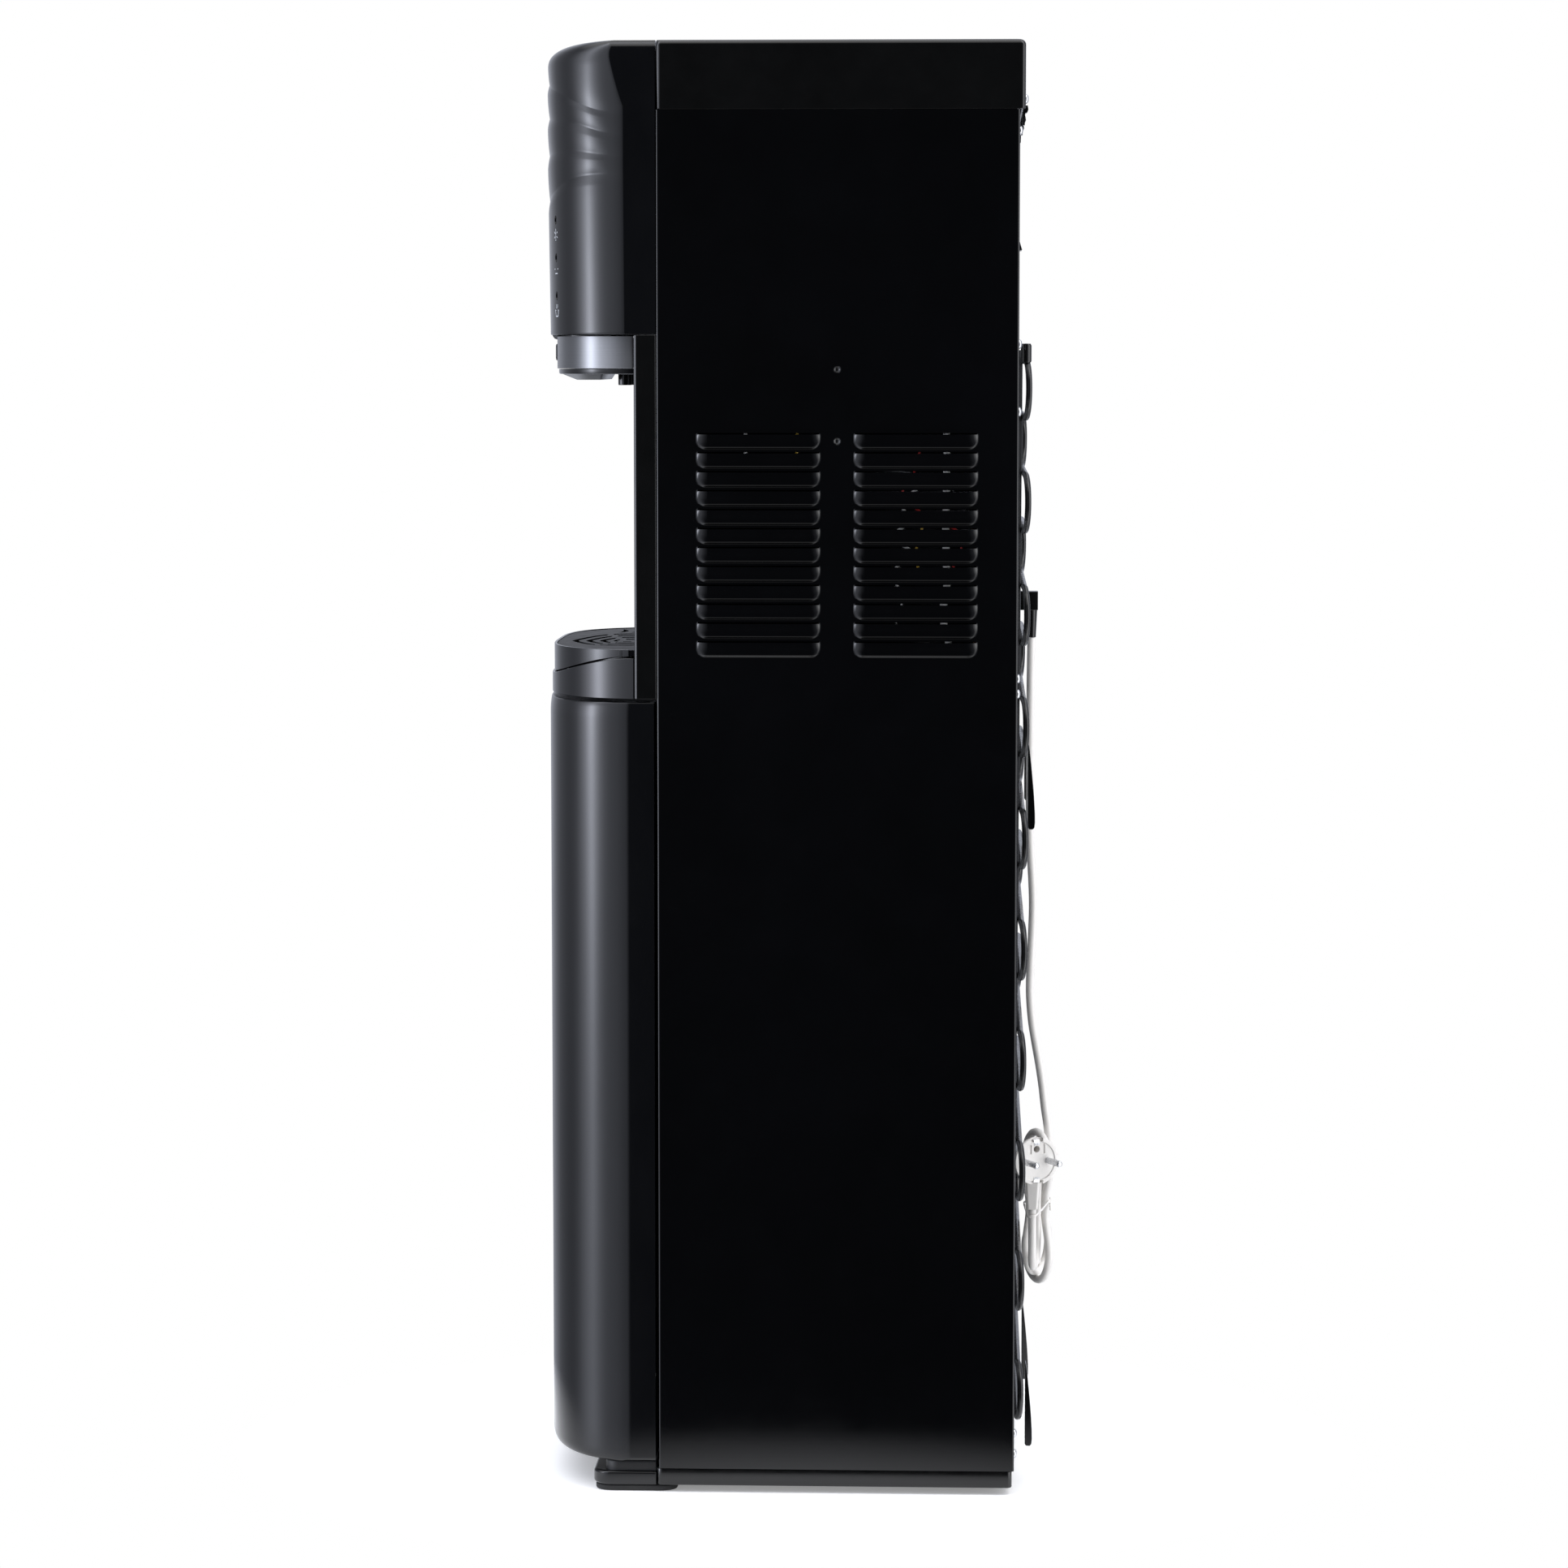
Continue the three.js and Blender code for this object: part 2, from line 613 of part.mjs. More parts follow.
function dripTray() {
  const rim = prism(trayPlan(), TRAY.rim - 4.6, TRAY.rim);
  const skirtOuter = bowLine(TRAY_BOW, TRAY.front, TRAY.half);
  const skirtInner = bowLine(TRAY_BOW, TRAY.front, TRAY.half, 2.4);
  const skirt = wall(skirtOuter, skirtInner, (x, y) => partingLine(x, y) + 0.3, () => TRAY.rim - 1);
  const basin = prism(trayPlan(9), TRAY.basin, TRAY.rim - 1);
  const seat = prism(trayPlan(GRILLE.inset - GAP), TRAY.rim - 3, TRAY.rim + 1);
  const hollow = prism(trayPlan(11.4), TRAY.basin + 2.4, TRAY.rim + 1);
  return cut(join(rim, skirt, basin), seat, hollow);
}

// Half of the leaf's width at a distance from its middle: it ends in points at its front and rear.
function leafWidth(y, [length, width]) {
  return width * Math.max(0, 1 - Math.abs(y / length) ** LEAF.power);
}

// One edge of a slot along a ring: between two distances, on the narrower right (1) or the left (-1).
function leafEdge(ring, from, to, side) {
  const points = [];
  const across = side > 0 ? LEAF.right : -LEAF.left;
  for (let i = 0; i <= LEAF.steps; i += 1) {
    const y = from + ((to - from) * i) / LEAF.steps;
    points.push([LEAF.x + across * leafWidth(y, ring), LEAF.y + y]);
  }
  return points;
}

// Each ring of the leaf has a slot on each side and one round each point, with ribs between them.
function leafSlots() {
  const slots = [];
  for (const { outer, inner } of LEAF.rings) {
    const reach = LEAF.tip * outer[0];
    const near = reach - LEAF.rib / 2;
    const far = reach + LEAF.rib / 2;
    for (const side of [-1, 1]) {
      slots.push([...leafEdge(outer, -near, near, side), ...leafEdge(inner, near, -near, side)]);
      const outerEnd = side * LEAF.end * outer[0];
      const innerEnd = side * LEAF.end * inner[0];
      slots.push([
        ...leafEdge(outer, side * far, outerEnd, 1), ...leafEdge(outer, outerEnd, side * far, -1),
        ...leafEdge(inner, side * far, innerEnd, -1), ...leafEdge(inner, innerEnd, side * far, 1),
      ]);
    }
  }
  return slots;
}

// A crescent's outline: two arches over the same width, with its horns forward.
function crescent(y) {
  const { x, half, front, rear, steps } = CRESCENT;
  const points = [];
  for (let i = 0; i <= steps; i += 1) {
    points.push([x - half + (2 * half * i) / steps, y + front * Math.sin((Math.PI * i) / steps)]);
  }
  for (let i = steps - 1; i > 0; i -= 1) {
    points.push([x - half + (2 * half * i) / steps, y + rear * Math.sin((Math.PI * i) / steps)]);
  }
  return points;
}

// The grille: a leaf of slots, one pointed ring inside another, and a row of crescents on its left.
function dripGrille() {
  const plate = prism(trayPlan(GRILLE.inset), GRILLE.bottom, GRILLE.top);
  const outlines = leafSlots();
  for (let i = 0; i < CRESCENT.count; i += 1) {
    outlines.push(crescent(CRESCENT.y + i * CRESCENT.pitch));
  }
  return cut(plate, ...outlines.map((points) => prism(points, GRILLE.bottom - 3, GRILLE.top + 3)));
}

function makeTray() {
  const group = new THREE.Group();
  group.add(part('front_apron', frontApron(), FINISHES.glossBlack));
  group.add(part('drip_tray', dripTray(), FINISHES.glossBlack));
  group.add(part('drip_grille', dripGrille(), FINISHES.glossBlack));
  return group;
}

// ---------------------------------------------------------------- door

// The door's outline at a height: its bottom edge curves back, its top edge a little.
function doorOutline(z, inset = 0, rear = DOOR.rear) {
  const { height, topDepth, topHeight } = DOOR_ROUND;
  const high = Math.max(0, 1 - (DOOR.top - z) / topHeight);
  const back = leanBack(DOOR_ROUND, 1 - (z - DOOR.bottom) / height) + topDepth * high * high;
  const edge = Math.max(0, DOOR.bottom + 2 - z);
  const bow = { ...DOOR_BOW, depth: DOOR_BOW.depth - back };
  return atHeight(bowPlan(bow, FRONT + back, HALF - edge, rear, inset), z);
}

function doorShell() {
  const bottom = [0, 0.8, 2, 4, 6, DOOR_ROUND.height].map((z) => DOOR.bottom + z);
  const top = [12, 5, 0].map((z) => DOOR.top - z);
  const outside = loft([...bottom, ...top].map((z) => doorOutline(z)));
  const t = DOOR.wall;
  const hollowHeights = [3, 5, 9].map((z) => DOOR.bottom + z);
  const inside = loft([...hollowHeights, DOOR.top - 3].map((z) => doorOutline(z, t, DOOR.rear + 5)));
  const bore = rod('z', HINGE.hole, 700, HINGE.x, HINGE.y, 300, 16);
  const corner = box(-HALF - 1, -HALF + 1, DOOR.rear - 0.8, DOOR.rear + 1, 0, 700);
  return cut(outside, inside, bore, corner);
}

function makeDoor() {
  const group = new THREE.Group();
  group.add(part('door', doorShell(), FINISHES.glossBlack));
  const ends = { lower: [15.4, 31], upper: [568, 580.6] };
  for (const [name, [z0, z1]] of Object.entries(ends)) {
    const shape = rod('z', HINGE.pin, z1 - z0, 0, 0, (z0 + z1) / 2, 16);
    const pin = part(`hinge_pin_${name}`, shape, FINISHES.steel);
    pin.position.set(HINGE.x, HINGE.y, 0);
    group.add(pin);
  }
  const magnet = part('door_magnet', box(-4, 4, -2.4, 2.4, -16, 16), FINISHES.rubber);
  magnet.position.set(147.6, -97.4, 300);
  group.add(magnet);
  return group;
}

// ---------------------------------------------------------------- inside

function shelf(z) {
  return box(-152, 152, SHELF.front, SHELF.rear, z, z + SHELF.sheet);
}

// The compressor's can is hollow, with a port on its side for the terminals.
function compressor() {
  const can = lathe([
    [0, 0], [60, 0], [72, 8], [74, 60], [74, 90], [66, 128], [40, 146], [0, 150],
  ]);
  const room = lathe([[0, 4], [56, 4], [68, 12], [70, 60], [70, 90], [62, 125], [38, 142], [0, 146]]);
  const port = rod('x', 9, 40, 72, 0, 70, 12);
  const base = box(-82, 82, -60, 60, -6, 1.5);
  return cut(join(can, base), room, port);
}

function tank(radius, height, sheet) {
  const outer = lathe([[0, 0], [radius * 0.8, 0], [radius, 10], [radius, height], [0, height]], 24);
  const inner = lathe([
    [0, sheet], [radius * 0.8 - sheet, sheet], [radius - sheet, 11],
    [radius - sheet, height - sheet], [0, height - sheet],
  ], 24);
  return cut(outer, inner, rod('z', 6, 20, 0, 0, height, 12));
}

function jacket(half, inside, height) {
  const block = extrude(roundedRectangle(-half, half, -half, half, 14), height);
  return cut(block, rod('z', inside, height, 0, 0, height / 2 + 6, 28));
}

function makeInside() {
  const group = new THREE.Group();
  group.add(part('mid_shelf', shelf(SHELF.mid), FINISHES.zinc));
  group.add(part('tank_shelf', shelf(SHELF.tank), FINISHES.zinc));
  const place = (name, geometry, material, x, y, z) => {
    const mesh = part(name, geometry, material);
    mesh.position.set(x, y, z);
    group.add(mesh);
  };
  const floor = SHELF.mid + SHELF.sheet + GAP;
  const deck = SHELF.tank + SHELF.sheet + GAP;
  place('compressor', compressor(), FINISHES.satinBlack, 10, 62, floor + 6);
  place('filter_dryer', rod('z', 9, 110, 0, 0, 55, 16), FINISHES.copper, -128, 140, floor);
  place('water_pump', box(-30, 30, -22, 22, 0, 46), FINISHES.whitePlastic, -110, -34, floor);
  place('cold_insulation', jacket(67, 57, 150), FINISHES.foam, -78, 30, deck);
  place('cold_tank', tank(56, 138, 1.2), FINISHES.steel, -78, 30, deck + 6.6);
  place('hot_jacket', jacket(56, 46, 140), FINISHES.foam, 88, 30, deck);
  place('hot_tank', tank(45, 128, 1.2), FINISHES.steel, 88, 30, deck + 6.6);
  const hollowBox = cut(box(-36, 36, -20, 20, 0, 80), box(-34, 34, -18, 18, 2, 90));
  place('power_box', hollowBox, FINISHES.whitePlastic, 90, 138, deck);
  return group;
}

// The bottle is fed through a dip tube, which hangs in the compartment's rear corner.
function makeBottleFeed() {
  const group = new THREE.Group();
  group.position.set(-122, 128, 0);
  const tube = cut(rod('z', 6, 420, 0, 0, 290, 14), rod('z', 4.4, 430, 0, 0, 290, 14));
  group.add(part('dip_tube', tube, FINISHES.whitePlastic));
  const cap = lathe([[0, 500.4], [20, 500.4], [20, 518], [12, 528], [0, 528]], 20);
  group.add(part('probe_cap', cap, FINISHES.satinBlack));
  group.add(part('feed_hose', rod('z', 5, 56, 0, 0, 556.4, 12), FINISHES.whitePlastic));
  return group;
}

// ---------------------------------------------------------------- back

function coilDepth(z) {
  return COIL.near + COIL.lean * (z - COIL.bottom);
}

// Straight rows joined by half-circle bends, as one path.
function condenserCoil() {
  const path = new THREE.CurvePath();
  const radius = COIL.pitch / 2;
  const at = (x, z) => new THREE.Vector3(x, coilDepth(z), z);
  for (let row = 0; row < COIL.rows; row += 1) {
    const z = COIL.bottom + row * COIL.pitch;
    const way = row % 2 === 0 ? 1 : -1;
    path.add(new THREE.LineCurve3(at(-way * COIL.half, z), at(way * COIL.half, z)));
    if (row + 1 < COIL.rows) {
      const bend = [];
      for (let i = 0; i <= 5; i += 1) {
        const angle = -Math.PI / 2 + (Math.PI * i) / 5;
        bend.push(at(way * (COIL.half + radius * Math.cos(angle)), z + radius * (1 + Math.sin(angle))));
      }
      for (let i = 0; i < 5; i += 1) {
        path.add(new THREE.LineCurve3(bend[i], bend[i + 1]));
      }
    }
  }
  return rings(path, COIL.tube, 6);
}

// A tube with one ring at each joint of a path of straight lines.
function rings(path, radius, sides) {
  const corners = [path.curves[0].v1, ...path.curves.map((line) => line.v2)];
  const outlines = corners.map((corner, i) => {
    const before = corners[Math.max(i - 1, 0)];
    const after = corners[Math.min(i + 1, corners.length - 1)];
    const along = after.clone().sub(before).normalize();
    const out = new THREE.Vector3(0, 1, 0);
    const across = out.clone().cross(along).normalize();
    const points = [];
    for (let k = 0; k < sides; k += 1) {
      const angle = (2 * Math.PI * k) / sides;
      const p = corner.clone();
      p.addScaledVector(across, radius * Math.cos(angle));
      p.addScaledVector(out, radius * Math.sin(angle));
      points.push(p);
    }
    return points;
  });
  const positions = outlines.flat().flatMap((p) => [p.x, p.y, p.z]);
  const index = [];
  for (let level = 0; level + 1 < outlines.length; level += 1) {
    for (let i = 0; i < sides; i += 1) {
      const a = level * sides + i;
      const b = level * sides + ((i + 1) % sides);
      index.push(a, b, b + sides, a, b + sides, a + sides);
    }
  }
  const last = (outlines.length - 1) * sides;
  for (let k = 1; k + 1 < sides; k += 1) {
    index.push(0, k + 1, k, last, last + k, last + k + 1);
  }
  const geometry = new THREE.BufferGeometry();
  geometry.setAttribute('position', new THREE.Float32BufferAttribute(positions, 3));
  geometry.setIndex(index);
  geometry.computeVertexNormals();
  return geometry;
}

// A wedge that keeps the back off the wall.
function wallSpacer() {
  const section = [[174.7, 0], [180, 0], [180, 8], [177.8, 34], [176, 62], [174.7, 62]];
  return prismX(section, -6, 6);
}

function switchPlate() {
  const windows = [-12, 12].map((x) => box(x - 6.2, x + 6.2, 160, 175, -10.4, 10.4));
  return cut(box(-26, 26, 165.2, 167.6, -14, 14), ...windows);
}

// A rocker's section about its pivot, at rest with its upper half pressed in.
function rocker() {
  const tilt = THREE.MathUtils.degToRad(7);
  const corners = [[-1, -9.2], [6.2, -9.2], [4.6, 0], [6.2, 9.2], [-1, 9.2]];
  const turned = corners.map(([y, z]) => [
    y * Math.cos(tilt) - z * Math.sin(tilt),
    y * Math.sin(tilt) + z * Math.cos(tilt),
  ]);
  return prismX(turned, -5.7, 5.7);
}

function makeBack() {
  const group = new THREE.Group();
  group.add(part('condenser_coil', condenserCoil(), FINISHES.coilBlack));
  for (const [side, sign] of SIDES) {
    for (const [level, z] of [['upper', 484], ['lower', 28]]) {
      const spacer = part(`wall_spacer_${level}_${side}`, wallSpacer(), FINISHES.satinBlack);
      spacer.position.set(sign * 110, 0, z);
      group.add(spacer);
    }
  }
  const plate = part('switch_plate', switchPlate(), FINISHES.satinBlack);
  plate.position.set(-38, 0, 914);
  group.add(plate);
  for (const [name, x] of [['heating', -50], ['cooling', -26]]) {
    const key = part(`rocker_${name}`, rocker(), FINISHES.satinBlack);
    key.position.set(x, 163, 914);
    group.add(key);
  }
  return group;
}

// ---------------------------------------------------------------- mains cord

function cordGland() {
  const [x, y, z] = CORD_ROUTE[0];
  const housing = box(x - 7, x + 7, 165.2, 183.4, 636, 650);
  const relief = rod('z', 3.4, 636.5 - z - GAP, x, y, (636.5 + z + GAP) / 2, 12, 4.4);
  return join(housing, relief);
}

// An angled plug: a round tapered body, two pins, and a strain relief that points down.
function mainsPlug() {
  const { radius, depth } = PLUG;
  const profile = [[0, -depth], [9.5, -depth], [radius - 1, -4], [radius, -1], [radius - 0.8, 0], [0, 0]];
  const body = lathe(profile, 24);
  const pins = [-1, 1].map((i) => rod('z', 2.4, 20, 0, i * 9.5, 9, 10));
  const whole = join(body, ...pins);
  whole.rotateY(Math.PI / 2);
  whole.rotateZ(THREE.MathUtils.degToRad(PLUG.turn));
  const reliefTop = -8;
  const reliefBottom = PLUG.relief - PLUG.z;
  const relief = rod('z', 4.2, reliefTop - reliefBottom, -7, -3.4, (reliefTop + reliefBottom) / 2, 12, 6);
  return join(whole, relief);
}

function cordHank() {
  const { left, right, shoulder, bottom, top, shoulderTop, front, rear } = HANK;
  const r = 16;
  const shape = new THREE.Shape();
  shape.moveTo(left + r, bottom);
  shape.lineTo(shoulder - r, bottom);
  shape.absarc(shoulder - r, bottom + r, r, -Math.PI / 2, 0, false);
  shape.lineTo(shoulder, shoulderTop);
  shape.lineTo(right, shoulderTop);
  shape.lineTo(right, top - r);
  shape.absarc(right - r, top - r, r, 0, Math.PI / 2, false);
  shape.lineTo(left + r, top);
  shape.absarc(left + r, top - r, r, Math.PI / 2, Math.PI, false);
  shape.lineTo(left, bottom + r);
  shape.absarc(left + r, bottom + r, r, Math.PI, Math.PI * 1.5, false);
  return prismY(shape, front, rear);
}

function makeCord() {
  const group = new THREE.Group();
  group.add(part('cord_gland', cordGland(), FINISHES.satinBlack));
  const flex = bar(CORD_ROUTE, CORD.diameter / 2, CORD.sides, CORD.steps);
  group.add(part('mains_cord', flex, FINISHES.whitePlastic));
  group.add(part('cord_hank', cordHank(), FINISHES.whitePlastic));
  const plug = part('mains_plug', mainsPlug(), FINISHES.whitePlastic);
  plug.position.set(PLUG.x, PLUG.y, PLUG.z);
  group.add(plug);
  return group;
}

// ---------------------------------------------------------------- the whole

const dispenser = new THREE.Group();
dispenser.add(
  makeBase(),
  makeCabinet(),
  makeHead(),
  makeOutlets(),
  makeTray(),
  makeDoor(),
  makeInside(),
  makeBottleFeed(),
  makeBack(),
  makeCord(),
);

export default dispenser;
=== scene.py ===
# A bottom-loading water dispenser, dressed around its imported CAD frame.
# Metres in the scene, millimetres in the shape code. +Z is up and the front faces -Y.

import math

import bpy
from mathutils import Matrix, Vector


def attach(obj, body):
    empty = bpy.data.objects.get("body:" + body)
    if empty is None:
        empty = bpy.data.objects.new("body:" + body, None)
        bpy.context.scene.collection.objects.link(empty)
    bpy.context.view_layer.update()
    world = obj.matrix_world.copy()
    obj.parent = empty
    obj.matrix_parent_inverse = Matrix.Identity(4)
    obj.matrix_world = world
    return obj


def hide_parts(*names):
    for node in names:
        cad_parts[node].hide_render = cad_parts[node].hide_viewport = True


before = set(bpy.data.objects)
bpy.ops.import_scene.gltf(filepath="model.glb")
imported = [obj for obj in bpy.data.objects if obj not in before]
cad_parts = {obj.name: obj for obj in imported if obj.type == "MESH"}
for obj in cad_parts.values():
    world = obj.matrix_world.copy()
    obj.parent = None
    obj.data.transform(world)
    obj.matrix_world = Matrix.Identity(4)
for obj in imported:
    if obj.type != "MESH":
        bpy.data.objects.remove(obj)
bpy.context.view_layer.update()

MM = 0.001
WHITE = (1.0, 1.0, 1.0, 1.0)

# Driving sizes, in millimetres, as in the CAD frame.
HALF = 155.0
FRONT = -178.8
HEIGHT = 1050.0
PANEL = {"front": -92.5, "rear": 166.5, "bottom": 18.3, "top": 1000.7, "sheet": 1.2, "bend": 1.6}
BOW = {"reach": 157.0, "depth": 104.0, "power": 3.4}
DOOR_BOW = {"reach": 157.0, "depth": 110.0, "power": 3.4}
BAND_BOW = {"reach": 147.0, "depth": 80.0, "power": 3.4}
TRAY_BOW = {"reach": 147.2, "depth": 137.0, "power": 3.4}
APRON_BOW = {"reach": 156.0, "depth": 146.2, "power": 3.4}
LOUVRE = {"rows": 12, "pitch": 13.53, "top": 770.8, "height": 11.0, "length": 88.6, "bulge": 2.6}
LOUVRE_COLUMNS = (-19.3, 93.3)
CORD_DIAMETER = 6.1


# ------------------------------------------------------------------ camera

CAMERA = {"place": (3.408, 0.132, 0.824), "yaw": 2.34, "pitch": 5.33, "lens": 104.43, "sensor": 36.0}


def make_camera():
    """A long lens on the dispenser's right, a little above its middle and looking down a little."""
    data = bpy.data.cameras.new("camera")
    data.lens = CAMERA["lens"]
    data.sensor_width = CAMERA["sensor"]
    camera = bpy.data.objects.new("camera", data)
    yaw, pitch = math.radians(CAMERA["yaw"]), math.radians(CAMERA["pitch"])
    forward = Vector((-math.cos(pitch) * math.cos(yaw), -math.cos(pitch) * math.sin(yaw), -math.sin(pitch)))
    camera.location = CAMERA["place"]
    camera.rotation_euler = forward.to_track_quat("-Z", "Y").to_euler()
    bpy.context.scene.collection.objects.link(camera)
    bpy.context.scene.camera = camera


# ------------------------------------------------------------------ materials

class Look:
    """A Principled material, with its node tree at hand."""

    def __init__(self, name, color, roughness, metallic=0.0, **sockets):
        self.name = name
        self.material = bpy.data.materials.new(name + "_look")
        self.material.use_nodes = True
        self.nodes = self.material.node_tree.nodes
        self.links = self.material.node_tree.links
        self.shader = self.nodes["Principled BSDF"]
        self.shader.inputs["Base Color"].default_value = (*color, 1.0)
        self.shader.inputs["Roughness"].default_value = roughness
        self.shader.inputs["Metallic"].default_value = metallic
        for socket, value in sockets.items():
            self.shader.inputs[socket.replace("_", " ")].default_value = value

    def node(self, kind, **inputs):
        node = self.nodes.new(kind)
        for socket, value in inputs.items():
            node.inputs[socket.replace("_", " ")].default_value = value
        return node

    def link(self, out, into):
        self.links.new(out, into)

    def place(self, stretch=(1.0, 1.0, 1.0)):
        """Object coordinates, in metres, stretched along each axis."""
        coordinates = self.node("ShaderNodeTexCoord")
        mapping = self.node("ShaderNodeMapping", Scale=stretch)
        self.link(coordinates.outputs["Object"], mapping.inputs["Vector"])
        return mapping.outputs["Vector"]

    def noise(self, scale, detail=3.0, roughness=0.5, stretch=(1.0, 1.0, 1.0)):
        texture = self.node("ShaderNodeTexNoise", Scale=scale, Detail=detail, Roughness=roughness)
        self.link(self.place(stretch), texture.inputs["Vector"])
        return texture.outputs["Fac"]

    def ramp(self, factor, *stops):
        """Stops are (place, value or colour)."""
        ramp = self.node("ShaderNodeValToRGB")
        elements = ramp.color_ramp.elements
        while len(elements) < len(stops):
            elements.new(0.5)
        for element, (place, value) in zip(elements, stops):
            element.position = place
            element.color = (*value, 1.0) if isinstance(value, tuple) else (value, value, value, 1.0)
        self.link(factor, ramp.inputs["Fac"])
        return ramp.outputs["Color"]

    def bump(self, height, distance, strength=1.0, below=None):
        """Distance is in millimetres."""
        bump = self.node("ShaderNodeBump", Strength=strength, Distance=distance * MM)
        self.link(height, bump.inputs["Height"])
        if below is not None:
            self.link(below, bump.inputs["Normal"])
        self.link(bump.outputs["Normal"], self.shader.inputs["Normal"])
        return bump.outputs["Normal"]

    def rough(self, low, high, scale, detail=4.0, stretch=(1.0, 1.0, 1.0)):
        self.link(self.ramp(self.noise(scale, detail, 0.6, stretch), (0.3, low), (0.7, high)),
                  self.shader.inputs["Roughness"])

    def tint(self, dark, light, scale, detail=4.0, stretch=(1.0, 1.0, 1.0)):
        self.link(self.ramp(self.noise(scale, detail, 0.6, stretch), (0.3, dark), (0.7, light)),
                  self.shader.inputs["Base Color"])


def paint_look():
    look = Look("paint", (0.0012, 0.0013, 0.0016), 0.1)
    look.tint((0.0010, 0.0011, 0.0013), (0.0015, 0.0016, 0.0020), 9.0)
    look.rough(0.08, 0.14, 30.0)
    fine = look.bump(look.noise(900.0, 2.0), 0.004, 0.5)
    look.bump(look.noise(160.0, 2.0), 0.01, 0.5, fine)
    return look


def gloss_look():
    look = Look("gloss_black", (0.0035, 0.0037, 0.0042), 0.14)
    look.tint((0.0020, 0.0022, 0.0027), (0.0030, 0.0032, 0.0038), 14.0)
    look.rough(0.12, 0.17, 45.0, stretch=(1.0, 1.0, 0.3))
    look.bump(look.noise(350.0, 2.0), 0.006, 0.4)
    return look


def satin_look():
    look = Look("satin_black", (0.0036, 0.0037, 0.0038), 0.22)
    look.tint((0.002, 0.0021, 0.0021), (0.003, 0.0031, 0.0031), 20.0)
    look.rough(0.13, 0.19, 60.0)
    look.bump(look.noise(1500.0, 3.0, 0.7), 0.006, 0.3)
    return look


def brushed_look():
    """Stainless band, brushed along its length, so that its highlights spread upright."""
    look = Look("brushed", (0.5, 0.51, 0.53), 0.36, 1.0, Anisotropic=0.85, Anisotropic_Rotation=0.25)
    grain = look.noise(900.0, 4.0, 0.7, (0.03, 0.03, 6.0))
    look.link(look.ramp(grain, (0.25, (0.25, 0.255, 0.265)), (0.75, (0.31, 0.315, 0.325))),
              look.shader.inputs["Base Color"])
    look.link(look.ramp(grain, (0.3, 0.3), (0.7, 0.42)), look.shader.inputs["Roughness"])
    tangent = look.node("ShaderNodeTangent")
    tangent.direction_type = "RADIAL"
    tangent.axis = "Z"
    look.link(tangent.outputs["Tangent"], look.shader.inputs["Tangent"])
    look.bump(grain, 0.004, 0.5)
    return look


def rubber_look():
    look = Look("rubber", (0.012, 0.012, 0.012), 0.75)
    look.tint((0.009, 0.009, 0.009), (0.017, 0.017, 0.016), 60.0)
    look.bump(look.noise(1200.0, 3.0, 0.7), 0.04, 0.5)
    return look


def steel_look():
    look = Look("steel", (0.62, 0.63, 0.65), 0.28, 1.0)
    look.rough(0.2, 0.38, 300.0)
    look.bump(look.noise(900.0, 2.0), 0.01, 0.4)
    return look


def zinc_look():
    """Galvanised sheet with its spangle."""
    look = Look("zinc", (0.42, 0.43, 0.44), 0.42, 1.0)
    cells = look.node("ShaderNodeTexVoronoi", Scale=110.0)
    look.link(look.place(), cells.inputs["Vector"])
    shade = look.ramp(cells.outputs["Color"], (0.1, (0.33, 0.34, 0.35)), (0.9, (0.52, 0.53, 0.54)))
    look.link(shade, look.shader.inputs["Base Color"])
    look.link(look.ramp(cells.outputs["Color"], (0.2, 0.34), (0.8, 0.52)), look.shader.inputs["Roughness"])
    look.bump(look.noise(500.0), 0.01, 0.4)
    return look


def coil_look():
    look = Look("coil_black", (0.004, 0.004, 0.0045), 0.22)
    look.rough(0.16, 0.3, 140.0)
    look.bump(look.noise(260.0, 3.0), 0.12, 0.45)
    return look


def white_look():
    look = Look("white_plastic", (0.82, 0.8, 0.77), 0.35)
    look.tint((0.79, 0.77, 0.74), (0.84, 0.82, 0.79), 40.0)
    look.rough(0.3, 0.42, 120.0)
    look.bump(look.noise(900.0, 2.0), 0.015, 0.35)
    look.shader.inputs["Subsurface Weight"].default_value = 0.08
    look.shader.inputs["Subsurface Radius"].default_value = (0.002, 0.002, 0.002)
    return look


def foam_look():
    look = Look("foam", (0.85, 0.84, 0.8), 0.9)
    look.bump(look.noise(700.0, 4.0, 0.7), 0.3, 0.5)
    return look


def circuit_look():
    look = Look("circuit", (0.012, 0.09, 0.03), 0.45)
    look.tint((0.009, 0.07, 0.024), (0.016, 0.12, 0.045), 240.0, 0.0, (1.0, 1.0, 0.2))
    return look


def lamp_look():
    look = Look("lamp", (0.012, 0.013, 0.015), 0.12)
    look.rough(0.1, 0.16, 300.0)
    return look


def copper_look():
    look = Look("copper", (0.72, 0.4, 0.24), 0.3, 1.0)
    look.tint((0.6, 0.3, 0.17), (0.78, 0.46, 0.29), 60.0)
    look.rough(0.24, 0.4, 120.0)
    return look


def print_look():
    """Pale grey ink of the icons."""
    look = Look("print", (0.5, 0.52, 0.54), 0.5)
    look.tint((0.46, 0.48, 0.5), (0.54, 0.56, 0.58), 900.0)
    return look


def matt_and_shade_look():
    """Matt black of the tray's two catches. The same dark matt on the skirt's shoulders and on the sheet
    inside the left panel's louvres is painted shade, standing in for the shade in those recesses.
    """
    look = Look("matt_and_shade", (0.004, 0.004, 0.0045), 0.5)
    look.rough(0.42, 0.6, 90.0)
    return look


def grille_look():
    """Fine matt black of the lift-out grille."""
    look = Look("grille", (0.0025, 0.0026, 0.0027), 0.5)
    look.shader.inputs["Specular IOR Level"].default_value = 0.36
    look.rough(0.46, 0.56, 120.0)
    return look


def wire_look(name, color):
    look = Look(name, color, 0.4)
    look.rough(0.35, 0.5, 200.0)
    return look


